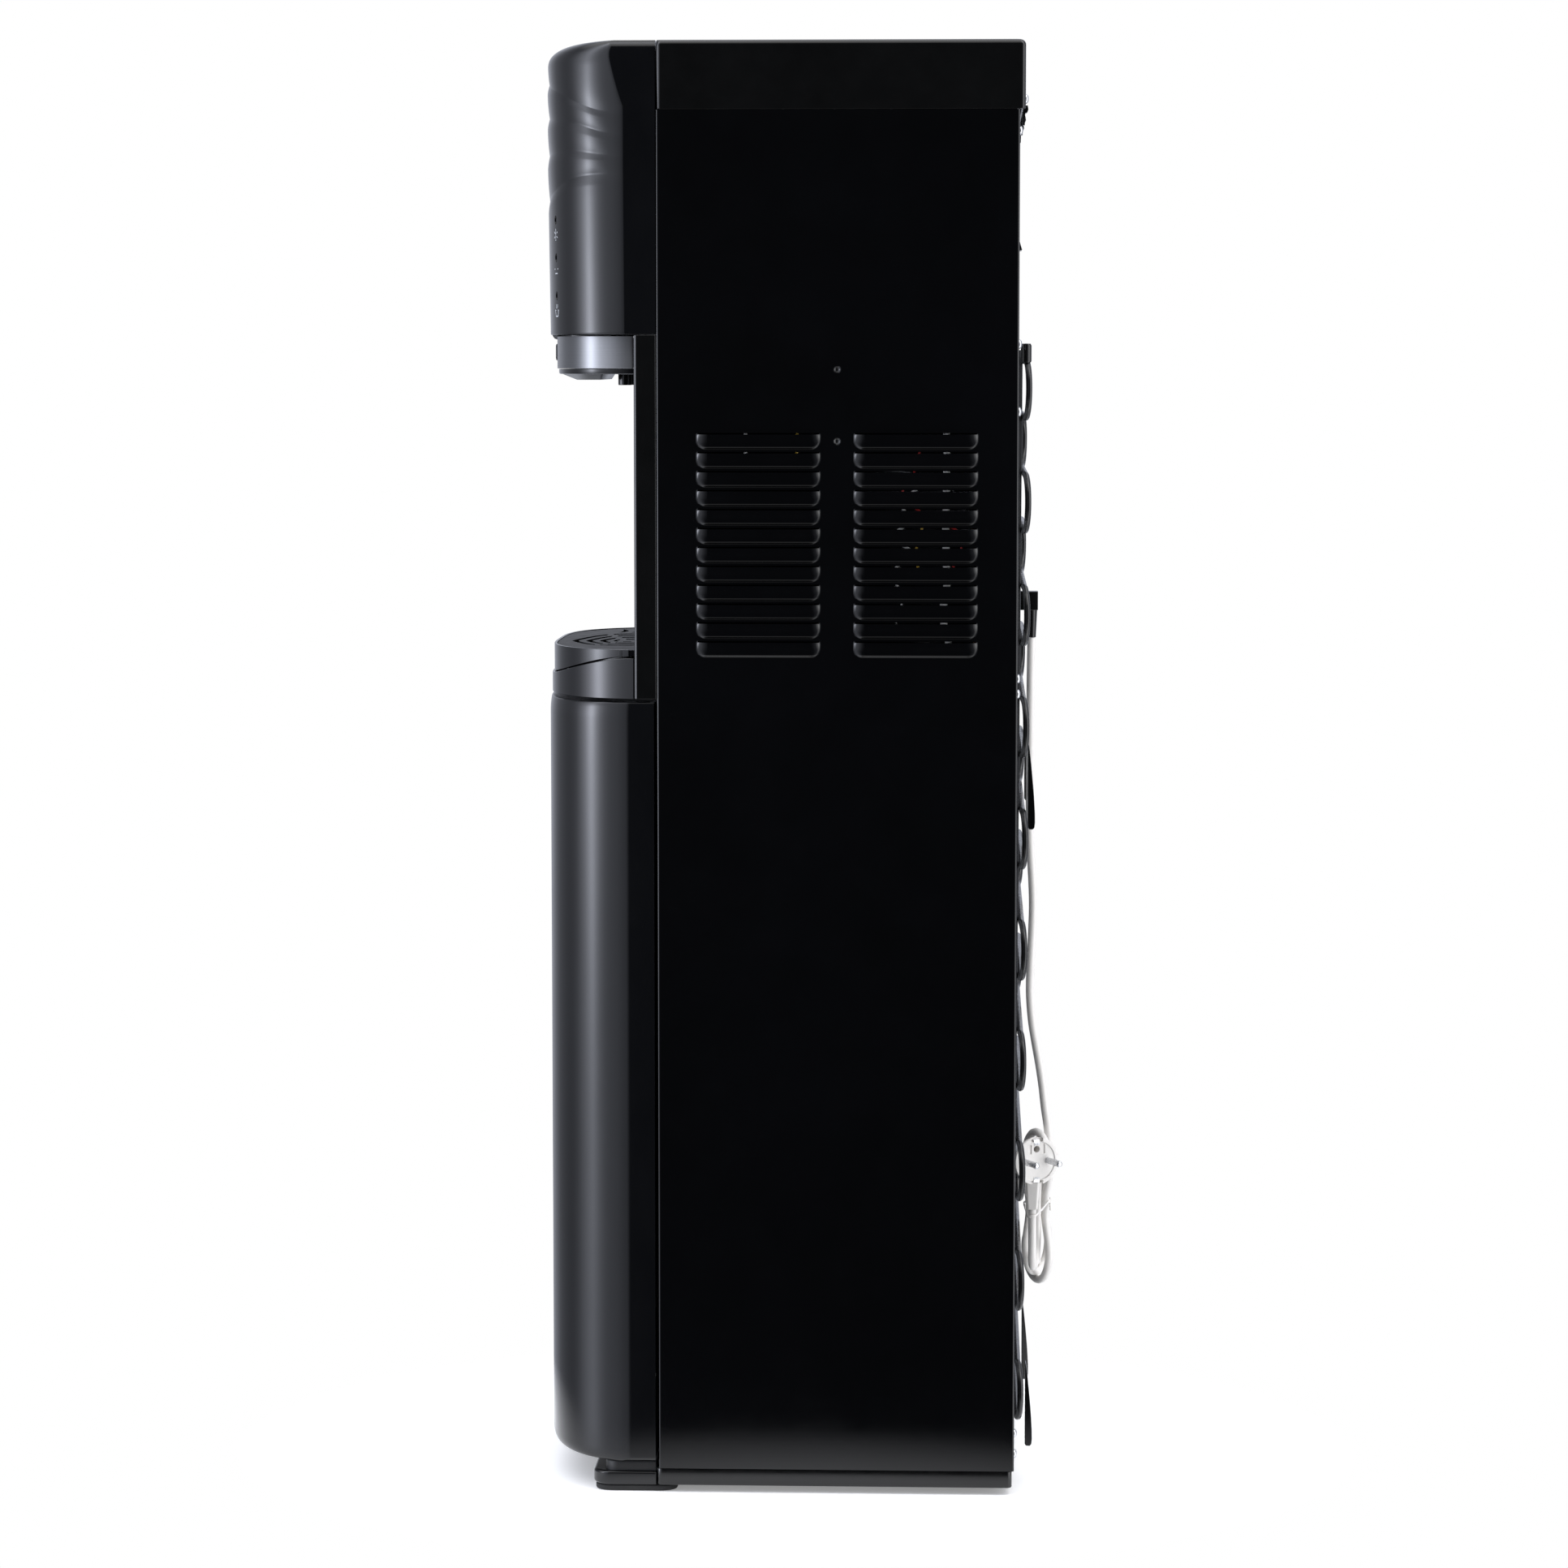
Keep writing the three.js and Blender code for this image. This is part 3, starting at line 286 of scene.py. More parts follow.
def make_looks():
    looks = [paint_look(), gloss_look(), satin_look(), brushed_look(), rubber_look(), steel_look(),
             zinc_look(), coil_look(), white_look(), foam_look(), circuit_look(), lamp_look(),
             copper_look(), print_look(), matt_and_shade_look(),
             grille_look(),
             wire_look("wire_red", (0.5, 0.02, 0.015)), wire_look("wire_yellow", (0.7, 0.45, 0.04)),
             wire_look("wire_white", (0.75, 0.75, 0.74))]
    return {look.name: look.material for look in looks}


LOOKS = make_looks()


# ------------------------------------------------------------------ mesh code

class Solid:
    """Points and faces in millimetres, gathered until they become one mesh."""

    def __init__(self):
        self.points = []
        self.faces = []

    def add(self, points, faces):
        start = len(self.points)
        self.points += [tuple(p) for p in points]
        self.faces += [tuple(start + i for i in face) for face in faces]
        return self

    def loft(self, rows, caps=True):
        """Closed rings of equal counts, one after the other; anticlockwise seen against the way they go."""
        count = len(rows[0])
        faces = []
        for r in range(len(rows) - 1):
            for i in range(count):
                j = (i + 1) % count
                faces.append((r * count + i, r * count + j, (r + 1) * count + j, (r + 1) * count + i))
        if caps:
            last = (len(rows) - 1) * count
            faces.append(tuple(range(count - 1, -1, -1)))
            faces.append(tuple(range(last, last + count)))
        return self.add([p for row in rows for p in row], faces)

    def prism(self, outline, low, high):
        """Upright, from an anticlockwise outline in plan."""
        return self.loft([at_height(outline, low), at_height(outline, high)])

    def prism_x(self, outline, x0, x1):
        """Along X, from an outline in Y and Z that runs anticlockwise seen from +X."""
        return self.loft([[(x, y, z) for y, z in outline] for x in (x0, x1)])

    def box(self, x0, x1, y0, y1, z0, z1):
        return self.prism([(x0, y0), (x1, y0), (x1, y1), (x0, y1)], z0, z1)

    def turn(self, profile, centre, axis=(0, 0, 1), sides=32):
        """A turned shape: profile is (radius, height) from low to high, and closes on the axis."""
        up = Vector(axis).normalized()
        side = up.orthogonal().normalized()
        other = up.cross(side)
        rows = []
        for radius, height in profile:
            ring = []
            for i in range(sides):
                a = 2 * math.pi * i / sides
                around = side * math.cos(a) + other * math.sin(a)
                p = Vector(centre) + up * height + around * max(radius, 0.01)
                ring.append(tuple(p))
            rows.append(ring)
        return self.loft(rows)

    def tube(self, path, radius, sides=12):
        """A round tube along a path, with a ring at each of its points."""
        points = [Vector(p) for p in path]
        rows = []
        side = None
        for i, p in enumerate(points):
            along = (points[min(i + 1, len(points) - 1)] - points[max(i - 1, 0)]).normalized()
            side = along.orthogonal() if side is None else side - along * side.dot(along)
            side.normalize()
            other = along.cross(side)
            r = radius[i] if isinstance(radius, list) else radius
            rows.append([tuple(p + (side * math.cos(a) + other * math.sin(a)) * r)
                         for a in (2 * math.pi * k / sides for k in range(sides))])
        return self.loft(rows)

    def object(self, name):
        mesh = bpy.data.meshes.new(name)
        mesh.from_pydata([tuple(c * MM for c in p) for p in self.points], [], self.faces)
        mesh.validate()
        obj = bpy.data.objects.new(name, mesh)
        bpy.context.scene.collection.objects.link(obj)
        return obj


def at_height(outline, z):
    return [(x, y, z) for x, y in outline]


def applied(obj):
    """The object with its modifiers made into plain mesh."""
    graph = bpy.context.evaluated_depsgraph_get()
    mesh = bpy.data.meshes.new_from_object(obj.evaluated_get(graph))
    old = obj.data
    obj.modifiers.clear()
    obj.data = mesh
    bpy.data.meshes.remove(old)
    return obj


def bevelled(obj, width, segments=3, angle=30.0):
    bevel = obj.modifiers.new("edges", "BEVEL")
    bevel.width = width * MM
    bevel.segments = segments
    bevel.limit_method = "ANGLE"
    bevel.angle_limit = math.radians(angle)
    bevel.use_clamp_overlap = True
    return applied(obj)


def carved(obj, *tools):
    """The object less the tools, which go."""
    for tool in tools:
        cut = obj.modifiers.new("cut", "BOOLEAN")
        cut.object = tool
        cut.operation = "DIFFERENCE"
        cut.solver = "EXACT"
    applied(obj)
    for tool in tools:
        bpy.data.objects.remove(tool)
    return obj


def settle(obj, look, body="cabinet", stands_for=(), crease=32.0):
    """Gives a finished piece its smooth shading, material, body and the nodes it stands for."""
    if obj.type == "MESH":
        for polygon in obj.data.polygons:
            polygon.use_smooth = True
        obj.data.set_sharp_from_angle(angle=math.radians(crease))
        weighted = obj.modifiers.new("flats", "WEIGHTED_NORMAL")
        weighted.keep_sharp = True
        weighted.mode = "FACE_AREA"
    obj.data.materials.clear()
    obj.data.materials.append(LOOKS[look])
    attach(obj, body)
    if stands_for:
        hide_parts(*stands_for)
    return obj


def smooth_step(t):
    t = min(1.0, max(0.0, t))
    return t * t * (3 - 2 * t)


def through(points, x):
    """A smooth height over x through a few points."""
    points = sorted(points)
    if x <= points[0][0]:
        return points[0][1]
    for i in range(len(points) - 1):
        (x0, z0), (x1, z1) = points[i], points[i + 1]
        if x <= x1:
            before = points[max(i - 1, 0)]
            after = points[min(i + 2, len(points) - 1)]
            m0 = (z1 - before[1]) / (x1 - before[0])
            m1 = (after[1] - z0) / (after[0] - x0)
            t = (x - x0) / (x1 - x0)
            d = x1 - x0
            return ((2 * t**3 - 3 * t**2 + 1) * z0 + (t**3 - 2 * t**2 + t) * d * m0
                    + (-2 * t**3 + 3 * t**2) * z1 + (t**3 - t**2) * d * m1)
    return points[-1][1]


def spline(points, steps):
    """Points along a smooth curve through the given ones, with so many steps between two of them."""
    p = [Vector(q) for q in points]
    out = []
    for i in range(len(p) - 1):
        a, b, c, d = p[max(i - 1, 0)], p[i], p[i + 1], p[min(i + 2, len(p) - 1)]
        for k in range(steps):
            t = k / steps
            out.append(0.5 * (2 * b + (c - a) * t + (2 * a - 5 * b + 4 * c - d) * t * t
                              + (3 * b - a - 3 * c + d) * t**3))
    return out + [p[-1]]


def bow_line(bow, front, half, inset=0.0, steps=120):
    """The bowed front in plan, from its left end to its right end, with its outward direction."""
    start = math.acos((half / bow["reach"]) ** (bow["power"] / 2))
    line = []
    for i in range(steps + 1):
        angle = math.pi - start - (i / steps) * (math.pi - 2 * start)
        c, s = math.cos(angle), math.sin(angle)
        x = bow["reach"] * math.copysign(abs(c) ** (2 / bow["power"]), c)
        y = bow["depth"] * s ** (2 / bow["power"])
        nx = math.copysign(abs(x / bow["reach"]) ** (bow["power"] - 1), x) / bow["reach"]
        ny = (y / bow["depth"]) ** (bow["power"] - 1) / bow["depth"]
        size = math.hypot(nx, ny)
        nx, ny = nx / size, -ny / size
        line.append((x - inset * nx, front + bow["depth"] - y - inset * ny, nx, ny))
    return line


def lean_back(edge, share):
    """How far a rounded edge has leant back, from 0 where it starts to its whole depth where it ends."""
    share = min(1.0, max(0.0, share))
    return edge["depth"] * (1 - (1 - share ** edge["power"]) ** (1 / edge["power"]))


def bow_plan(bow, front, half, rear, inset=0.0, steps=120):
    """A closed plan, anticlockwise: the bowed front, then straight sides back to the rear edge."""
    side = half - inset
    return [(x, y) for x, y, _, _ in bow_line(bow, front, half, inset, steps)] + [(side, rear),
            (-side, rear)]


def rounded_rectangle(x0, x1, y0, y1, radius, steps=6):
    corners = [(x1 - radius, y0 + radius, -90), (x1 - radius, y1 - radius, 0),
               (x0 + radius, y1 - radius, 90), (x0 + radius, y0 + radius, 180)]
    return [(cx + radius * math.cos(a), cy + radius * math.sin(a))
            for cx, cy, begin in corners
            for a in (math.radians(begin + 90 * k / steps) for k in range(steps + 1))]


# ------------------------------------------------------------------ mains cord, hank and plug

CORD_EXIT = (-30.0, 178.6, 614.7)
CORD_FALL = [
    CORD_EXIT, (-30, 178.4, 600), (-30, 178.2, 575), (-30, 178.1, 545), (-30, 178, 515), (-30, 178, 490),
    (-29.8, 178.2, 471), (-29.6, 179, 450), (-29.3, 180.2, 430), (-29, 180.8, 410), (-28.6, 180, 385),
    (-28, 179, 360), (-27.2, 178.9, 342), (-26, 180.6, 322), (-24.6, 183.6, 304), (-23.4, 186.6, 287),
    (-22.6, 188.8, 272), (-22.2, 190.4, 258), (-21.8, 192.2, 246), (-21.5, 193.4, 236), (-21, 193.6, 224),
    (-20.5, 193, 210), (-19.6, 191.6, 196),
]
TIE = {"x": -16.0, "y": 185.0, "z": 182.0, "band": 185.5}
STRANDS = ((-19.15, 190.5), (-12.85, 179.5), (-22.3, 185.0), (-12.85, 190.5), (-19.15, 179.5),
           (-16.0, 185.0),
           (-9.7, 185.0))
# Each loop: its middle across, its turn in plan, its radius and its far end's height.
LOOPS = (
    (-16.0, -25.0, 21.5, 131.4, -1), (-16.0, -25.0, 21.5, 233.6, 1), (-16.0, 22.0, 24.0, 125.2, -1),
    (-16.0, 22.0, 24.0, 239.8, 1), (-24.0, 0.0, 18.6, 137.6, -1), (-16.0, 0.0, 18.6, 227.4, -1),
)
PLUG = {"x": 42.0, "y": 184.0, "z": 227.0, "turn": 26.0, "radius": 18.2, "depth": 18.0}
RELIEF = (35.0, 180.6)


def petal(loop, start, finish):
    """Half a turn of the hank: from the tie, round an open loop above or below it, and back."""
    middle_x, turn, radius, end, side = loop
    across = Vector((math.cos(math.radians(turn)), math.sin(math.radians(turn)), 0)) * side
    centre = Vector((middle_x, TIE["y"], 0))
    way = 1 if end > TIE["z"] else -1
    middle = end - way * radius
    points = []
    for strand, sign in ((start, 1), (finish, -1)):
        leg = []
        for step in range(8):
            t = step / 8
            at_tie = Vector((*strand, 0))
            at_loop = centre + across * radius * sign
            place = at_tie.lerp(at_loop, smooth_step(t))
            leg.append(place + Vector((0, 0, TIE["z"] + (middle - TIE["z"]) * t)))
        if sign == 1:
            points += leg
            for step in range(17):
                a = math.pi * step / 16
                points.append(centre + across * math.cos(a) * radius
                              + Vector((0, 0, middle + way * math.sin(a) * radius)))
        else:
            points += list(reversed(leg))
    return points


def hank_start():
    """The hank's line before it settles: round its loops, then under and up into the plug's relief."""
    line = []
    for k, loop in enumerate(LOOPS):
        half = petal(loop, STRANDS[k], STRANDS[k + 1])
        line += half[1:] if line else half
    last = [(-7.5, 185, 174), (-3.5, 185, 163), (0.5, 184.4, 152.5), (7, 183.4, 144), (16, 182, 140.6),
            (25, 181.0, 144), (31.5, 180.6, 152), (34.6, 180.6, 163), (35, 180.6, 174)]
    return line + [Vector(p) for p in last]


def settled_hank():
    """Lays the hank's turns side by side, evenly bent, pinched at the tie and clear of one another."""
    import numpy as np
    fall = [Vector(p) for p in CORD_FALL]
    line = fall[-3:] + hank_start() + [Vector((*RELIEF, 184.0)), Vector((*RELIEF, 190.0))]
    points = np.array([tuple(p) for p in line], dtype=float)
    step = 4.0

    def evened(points, count=None):
        lengths = np.concatenate([[0], np.cumsum(np.linalg.norm(np.diff(points, axis=0), axis=1))])
        count = count or int(round(lengths[-1] / step)) + 1
        places = np.linspace(0, lengths[-1], count)
        return np.stack([np.interp(places, lengths, points[:, k]) for k in range(3)], axis=1)

    points = evened(points)
    count = len(points)
    target = points.copy()
    first, last = points[:4].copy(), points[-4:].copy()
    low = np.array([-43.0, 175.9, 125.1])
    high = np.array([36.0, 193.9, 240.0])
    index = np.arange(count)
    far = np.abs(index[:, None] - index[None, :]) > 5
    clear = CORD_DIAMETER + 0.2
    for _ in range(200):
        points += (target - points) * 0.05
        points[1:-1] += (0.5 * (points[:-2] + points[2:]) - points[1:-1]) * 0.1
        for _ in range(2):
            gap = points[:, None, :] - points[None, :, :]
            distance = np.linalg.norm(gap, axis=2) + 1e-6
            push = np.where(far & (distance < clear), (clear - distance) / distance, 0.0)
            points += 0.25 * (gap * push[:, :, None]).sum(axis=1)
        points = np.clip(points, low, high)
        points[:4], points[-4:] = first, last
    return [Vector(p) for p in points]


def make_cord():
    hank = settled_hank()
    fall = [Vector(p) for p in CORD_FALL[:-3]]
    line = [p for p in spline(fall, 2)] + hank[1:]
    curve = bpy.data.curves.new("mains_cord", "CURVE")
    curve.dimensions = "3D"
    curve.bevel_depth = CORD_DIAMETER / 2 * MM
    curve.bevel_resolution = 4
    curve.resolution_u = 3
    curve.use_fill_caps = True
    flex = curve.splines.new("BEZIER")
    flex.bezier_points.add(len(line) - 1)
    for point, place in zip(flex.bezier_points, line):
        point.co = place * MM
        point.handle_left_type = point.handle_right_type = "AUTO"
    cord = bpy.data.objects.new("flex", curve)
    bpy.context.scene.collection.objects.link(cord)
    settle(cord, "white_plastic", stands_for=("mains_cord", "cord_hank"))
    plug = make_plug()
    tie = make_tie(line)


def make_tie(line):
    """A twist tie, drawn round the hank's waist with its twisted ends standing out."""
    waist = [p for p in line if abs(p.z - TIE["band"]) < 7]
    middle = Vector((sum(p.x for p in waist) / len(waist), sum(p.y for p in waist) / len(waist), 0))
    count = 96
    path = []
    for k in range(count):
        a = 2 * math.pi * k / count
        out = Vector((math.cos(a), math.sin(a), 0))
        edge = max(waist, key=lambda p: p.dot(out))
        path.append(Vector((edge.x, edge.y, 0)) + out * (CORD_DIAMETER / 2 + 0.75))
    band = Solid()
    rows = []
    for k, p in enumerate(path):
        nearby = [path[(k + j) % count] for j in range(-3, 4)]
        soft = sum(nearby, Vector((0, 0, 0))) / 7
        out = (soft - middle).normalized()
        lean = 0.2 * (soft.y - TIE["y"])
        ring = []
        for j in range(8):
            b = 2 * math.pi * j / 8
            tall = TIE["band"] + lean + 0.9 * math.sin(b)
            ring.append(tuple(soft + out * 0.75 * math.cos(b) + Vector((0, 0, tall))))
        rows.append(ring)
    faces = [(r * 8 + i, r * 8 + (i + 1) % 8, ((r + 1) % count) * 8 + (i + 1) % 8, ((r + 1) % count) * 8 + i)
             for r in range(count) for i in range(8)]
    band.add([p for row in rows for p in row], faces)
    start = Vector((-12.0, 194.8, TIE["band"] + 2.5))
    for phase in (0, math.pi):
        band.tube([start + Vector((0.9 * math.cos(0.9 * k + phase) + 0.5 * k, 0.0,
                                   0.9 * math.sin(0.9 * k + phase) - 0.5 * k)) for k in range(13)], 0.7, 8)
    return settle(band.object("twist_tie"), "white_plastic")


def make_plug():
    """An angled two-pin plug with side earth clips and a ribbed strain relief."""
    turn = math.radians(PLUG["turn"])
    out = Vector((math.cos(turn), math.sin(turn), 0))
    side = Vector((-math.sin(turn), math.cos(turn), 0))
    up = Vector((0, 0, 1))
    centre = Vector((PLUG["x"], PLUG["y"], PLUG["z"]))
    r, depth = PLUG["radius"], PLUG["depth"]

    def place(o, s, u):
        return centre + out * o + side * s + up * u

    profile = [(0.01, -depth), (7.5, -depth), (9.5, -depth + 0.6), (11.4, -depth + 2.4), (r - 1.6, -5.2),
               (r - 0.5, -3.6), (r, -2.2), (r, -0.9), (r - 0.3, -0.25), (r - 0.9, 0), (15.2, 0), (14.9, -0.3),
               (14.9, -0.8), (0.01, -0.8)]
    body = Solid().turn(profile, centre, out, 64).object("plug_body")
    notch = [Solid().box(-3.4, 3.4, -5.0, 5.0, -3.2, 3.2).object("notch") for _ in range(2)]
    for tool, sign in zip(notch, (1, -1)):
        tool.matrix_world = frame_matrix(place(0.0, 0, sign * (r - 0.4)), out, side, up)
    hole = Solid().turn([(2.5, -14), (2.5, 3)], place(0, 0, 9.0), out, 24).object("hole")
    recess = [Solid().box(-1.6, 3, -1.3, 1.3, -3.6, 3.6).object("recess") for _ in range(2)]
    for tool, sign in zip(recess, (1, -1)):
        tool.matrix_world = frame_matrix(place(0.0, sign * 5.6, 9.0), out, side, up)
    carved(body, *notch, hole, *recess)
    rows = []
    for t, shrink in ((0, 2.2), (0.0, 0.6), (0.03, 0.0), (1.0, 0.0), (1.0, 0.9)):
        wide, deep = 5.6 - 1.9 * t - shrink, 5.9 - 1.9 * t - shrink
        plan = rounded_rectangle(-wide, wide, -deep, deep, 1.7)
        z = 190.0 + (1 - t) * 33.5 - (0.6 if shrink > 0.7 and t else 0)
        rows.append([(RELIEF[0] + x, RELIEF[1] + y, z) for x, y in plan])
    sleeve = Solid().loft(list(reversed(rows))).object("sleeve")
    slots = []
    for z in (205.6, 199.8, 194.0):
        for sign in (-1, 1):
            y = RELIEF[1] + sign * 5.0
            slot = Solid().box(RELIEF[0] - 8, RELIEF[0] + 3.0, y - 2.6, y + 2.6, z, z + 2.6)
            slots.append(slot.object("slot"))
    carved(sleeve, *slots)
    body_bits = bevelled(body, 0.25, 2, 40)
    plug = joined("plug", body_bits, sleeve)
    settle(plug, "white_plastic", stands_for=("mains_plug",))
    pins = Solid()
    for sign in (-1, 1):
        tip = [(2.4, -1.6), (2.4, 17.2), (2.1, 18.4), (1.3, 19.0), (0.01, 19.0)]
        pins.turn(tip, place(0, sign * 9.5, 0), out, 24)
    for sign in (1, -1):
        clip = []
        for o, u in ((-11, 0.2), (-3.4, 0.9), (-2.4, 1.4), (-1.2, 0.9), (-0.4, -0.6), (-0.4, -2.4)):
            clip.append((o, sign * (r - 3.4 + u)))
        half = 2.3
        rows = []
        for o, u in clip:
            rows.append([tuple(place(o, -half, u - 0.3)), tuple(place(o, half, u - 0.3)),
                         tuple(place(o, half, u + 0.3)), tuple(place(o, -half, u + 0.3))])
        pins.loft(rows)
    settle(pins.object("plug_contacts"), "steel")
    return plug


def frame_matrix(origin, x, y, z):
    """A placing in the scene from an origin in millimetres and three directions."""
    from mathutils import Matrix
    rows = [(x[i], y[i], z[i], origin[i] * MM) for i in range(3)] + [(0, 0, 0, 1)]
    return Matrix(rows)


def joined(name, *objects):
    """Several meshes as one object."""
    import bmesh
    whole = bmesh.new()
    for obj in objects:
        mesh = obj.data.copy()
        mesh.transform(obj.matrix_world)
        whole.from_mesh(mesh)
        bpy.data.meshes.remove(mesh)
        bpy.data.objects.remove(obj)
    mesh = bpy.data.meshes.new(name)
    whole.to_mesh(mesh)
    whole.free()
    result = bpy.data.objects.new(name, mesh)
    bpy.context.scene.collection.objects.link(result)
    return result


# ------------------------------------------------------------------ head

HEAD = {"bottom": 842.0, "top": HEIGHT, "rear": -92.8, "wall": 3.0}
HEAD_ROUND = {"start": 1034.0, "depth": 34.0, "height": 16.2, "power": 2.6}
LAMP = {"x": 111.0, "z": (924.3, 897.3, 869.9), "wide": 2.2, "tall": 2.7}
CREASES = (
    ((-145, 1016), (-60, 1030), (0, 1031), (62, 1024), (100, 1019), (124, 1014), (137, 1008.5), (145, 1004),
     (150, 1001), (155, 999)),
    ((-145, 978), (-60, 999), (0, 1003), (62, 999), (100, 996.2), (130, 993.6), (140, 991.3), (146, 988.6),
     (151, 985.6), (155, 983.5)),
    ((-145, 926), (-60, 952), (0, 964), (62, 970.5), (90, 972.6), (120, 973), (140, 972.1), (150, 969.8),
     (155, 968.5)),
    ((-145, 858), (-60, 888), (0, 915), (40, 928), (62, 936), (85, 941), (111, 946), (124, 950),
     (137, 953.6),
     (147, 955.3), (155, 955.8)),
)
RELIEF_DEPTH = 1.55
RISE = 0.27


def head_bow(z):
    """The head's bow, front and half width at a height: it leans back over a long rounded top."""
    back = lean_back(HEAD_ROUND, (z - HEAD_ROUND["start"]) / HEAD_ROUND["height"])
    low = (960 - z) * 0.013 if z < 960 else 0
    draft = (z - 1003) * 0.065 if z > 1003 else 0
    edge = max(0.0, z - 1046) * 0.9
    bow = dict(BOW, depth=BOW["depth"] - back - low)
    return bow, FRONT + back + low, HALF - draft - edge


def head_relief(x, z, heights):
    """How far the wavy front sinks below its bow."""
    ends = smooth_step((155.2 - x) / 7) * smooth_step((x + 140) / 50)
    fade = ends * (1 - 0.58 * smooth_step((x - 60) / 60))
    if z >= heights[0]:
        return -RELIEF_DEPTH * fade * math.exp(-(z - heights[0]) / 8)
    for upper, lower in zip(heights, (*heights[1:], heights[-1] - 30)):
        if z >= lower:
            s = (upper - z) / (upper - lower)
            if s < RISE:
                return -RELIEF_DEPTH * fade * (1 - s / RISE) ** 1.5
            if lower == heights[-1] - 30:
                return 0.0
            return -RELIEF_DEPTH * fade * ((s - RISE) / (1 - RISE)) ** 2
    return 0.0


def head_rows(heights):
    """Heights of the mesh rows in one column, with a row along every crease."""
    one, two, three, four = heights
    bottom = HEAD["bottom"]
    near = (0.27, 0.2, 0.14, 0.09, 0.05, 0.02)
    rows = [bottom, bottom + 0.2, bottom + 0.7, bottom + 2.5]
    reach = four - 30 * RISE
    rows += [bottom + 2.5 + (reach - bottom - 2.5) * k / 10 for k in range(1, 10)]
    rows += [four - 30 * s for s in near]
    for upper, lower in ((three, four), (two, three), (one, two)):
        rows += [upper - (upper - lower) * s for s in (1.0, 0.9, 0.78, 0.66, 0.54, 0.42, 0.33, *near)]
    rows += [one + (HEAD["top"] - one) * math.sin(math.pi / 2 * k / 18) for k in range(19)]
    return rows


def head_shell():
    columns = 140
    plan = [(i, "bow", 0.0) for i in range(columns + 1)]
    side = [0.9, 8.0, 16.0]
    plan += [(columns, "side", d) for d in side] + [(columns, "rear", 0.0)]
    plan += [(0, "rear", 0.0)] + [(0, "side", d) for d in reversed(side)]
    grid = []
    for i, kind, back in plan:
        base = bow_line(BOW, FRONT, HALF, 0.0, columns)[i][0] if kind == "bow" else math.copysign(HALF, i - 1)
        heights = [through(crease, base) for crease in CREASES]
        column = []
        for row, z in enumerate(head_rows(heights)):
            bow, front, half = head_bow(z)
            inset = (0.7, 0.2, 0.0)[min(row, 2)]
            x, y, nx, ny = HEAD_LINES.setdefault(round(z, 3), bow_line(bow, front, half, 0.0, columns))[i]
            if kind == "bow":
                out = head_relief(x, z, heights) - inset
                column.append((x + nx * out, y + ny * out, z))
            else:
                y = HEAD["rear"] if kind == "rear" else min(y + back, HEAD["rear"] - 0.5)
                column.append((x - math.copysign(inset, x), y, z))
        grid.append(column)
    rows = [[column[k] for column in grid] for k in range(len(grid[0]))]
    shell = Solid().loft(rows).object("head")
    inner = []
    for z in (845, 900, 960, 1003, 1034, 1043):
        bow, front, half = head_bow(z)
        inner.append(at_height(bow_plan(bow, front, half, HEAD["rear"] + 5, HEAD["wall"], 40), z))
    tools = [Solid().loft(inner).object("hollow"), Solid().box(-50, 50, -140, -112, 840, 847).object("pass")]
    for z in LAMP["z"]:
        ring = [(LAMP["x"] + (LAMP["wide"] + 0.4) * math.cos(a), z + (LAMP["tall"] + 0.4) * math.sin(a))
                for a in (2 * math.pi * k / 28 for k in range(28))]
        tools.append(Solid().loft([[(x, y, w) for x, w in ring] for y in (-158, -182)]).object("lamp_hole"))
    carved(shell, *tools)
    settle(shell, "gloss_black", stands_for=("head_shell",), crease=40)
    lip = []
    for inset, z in ((2.6, 842.0), (2.9, 840.9), (4.2, 839.3), (5.6, 838.8)):
        line = [p for p in bow_line(BOW, FRONT, HALF, inset, columns) if abs(p[0]) < 62]
        ends = [(x * (1 - 0.02 * (842 - z) / 3), y, z) for x, y, _, _ in line]
        lip.append(ends + [(61, -171.6 + inset * 0.12, z), (-61, -171.6 + inset * 0.12, z)])
    settle(Solid().loft(list(reversed(lip))).object("head_lip"), "gloss_black")


HEAD_LINES = {}


def head_y(x, z):
    """Where the head's wavy front is at a place across and a height."""
    bow, front, _ = head_bow(z)
    across = abs(x) / bow["reach"]
    along = (1 - across ** bow["power"]) ** (1 / bow["power"])
    slope = (across / along) ** (bow["power"] - 1) * bow["depth"] / bow["reach"]
    sunk = -head_relief(x, z, [through(crease, x) for crease in CREASES])
    return front + bow["depth"] * (1 - along) + sunk * math.hypot(1, slope)


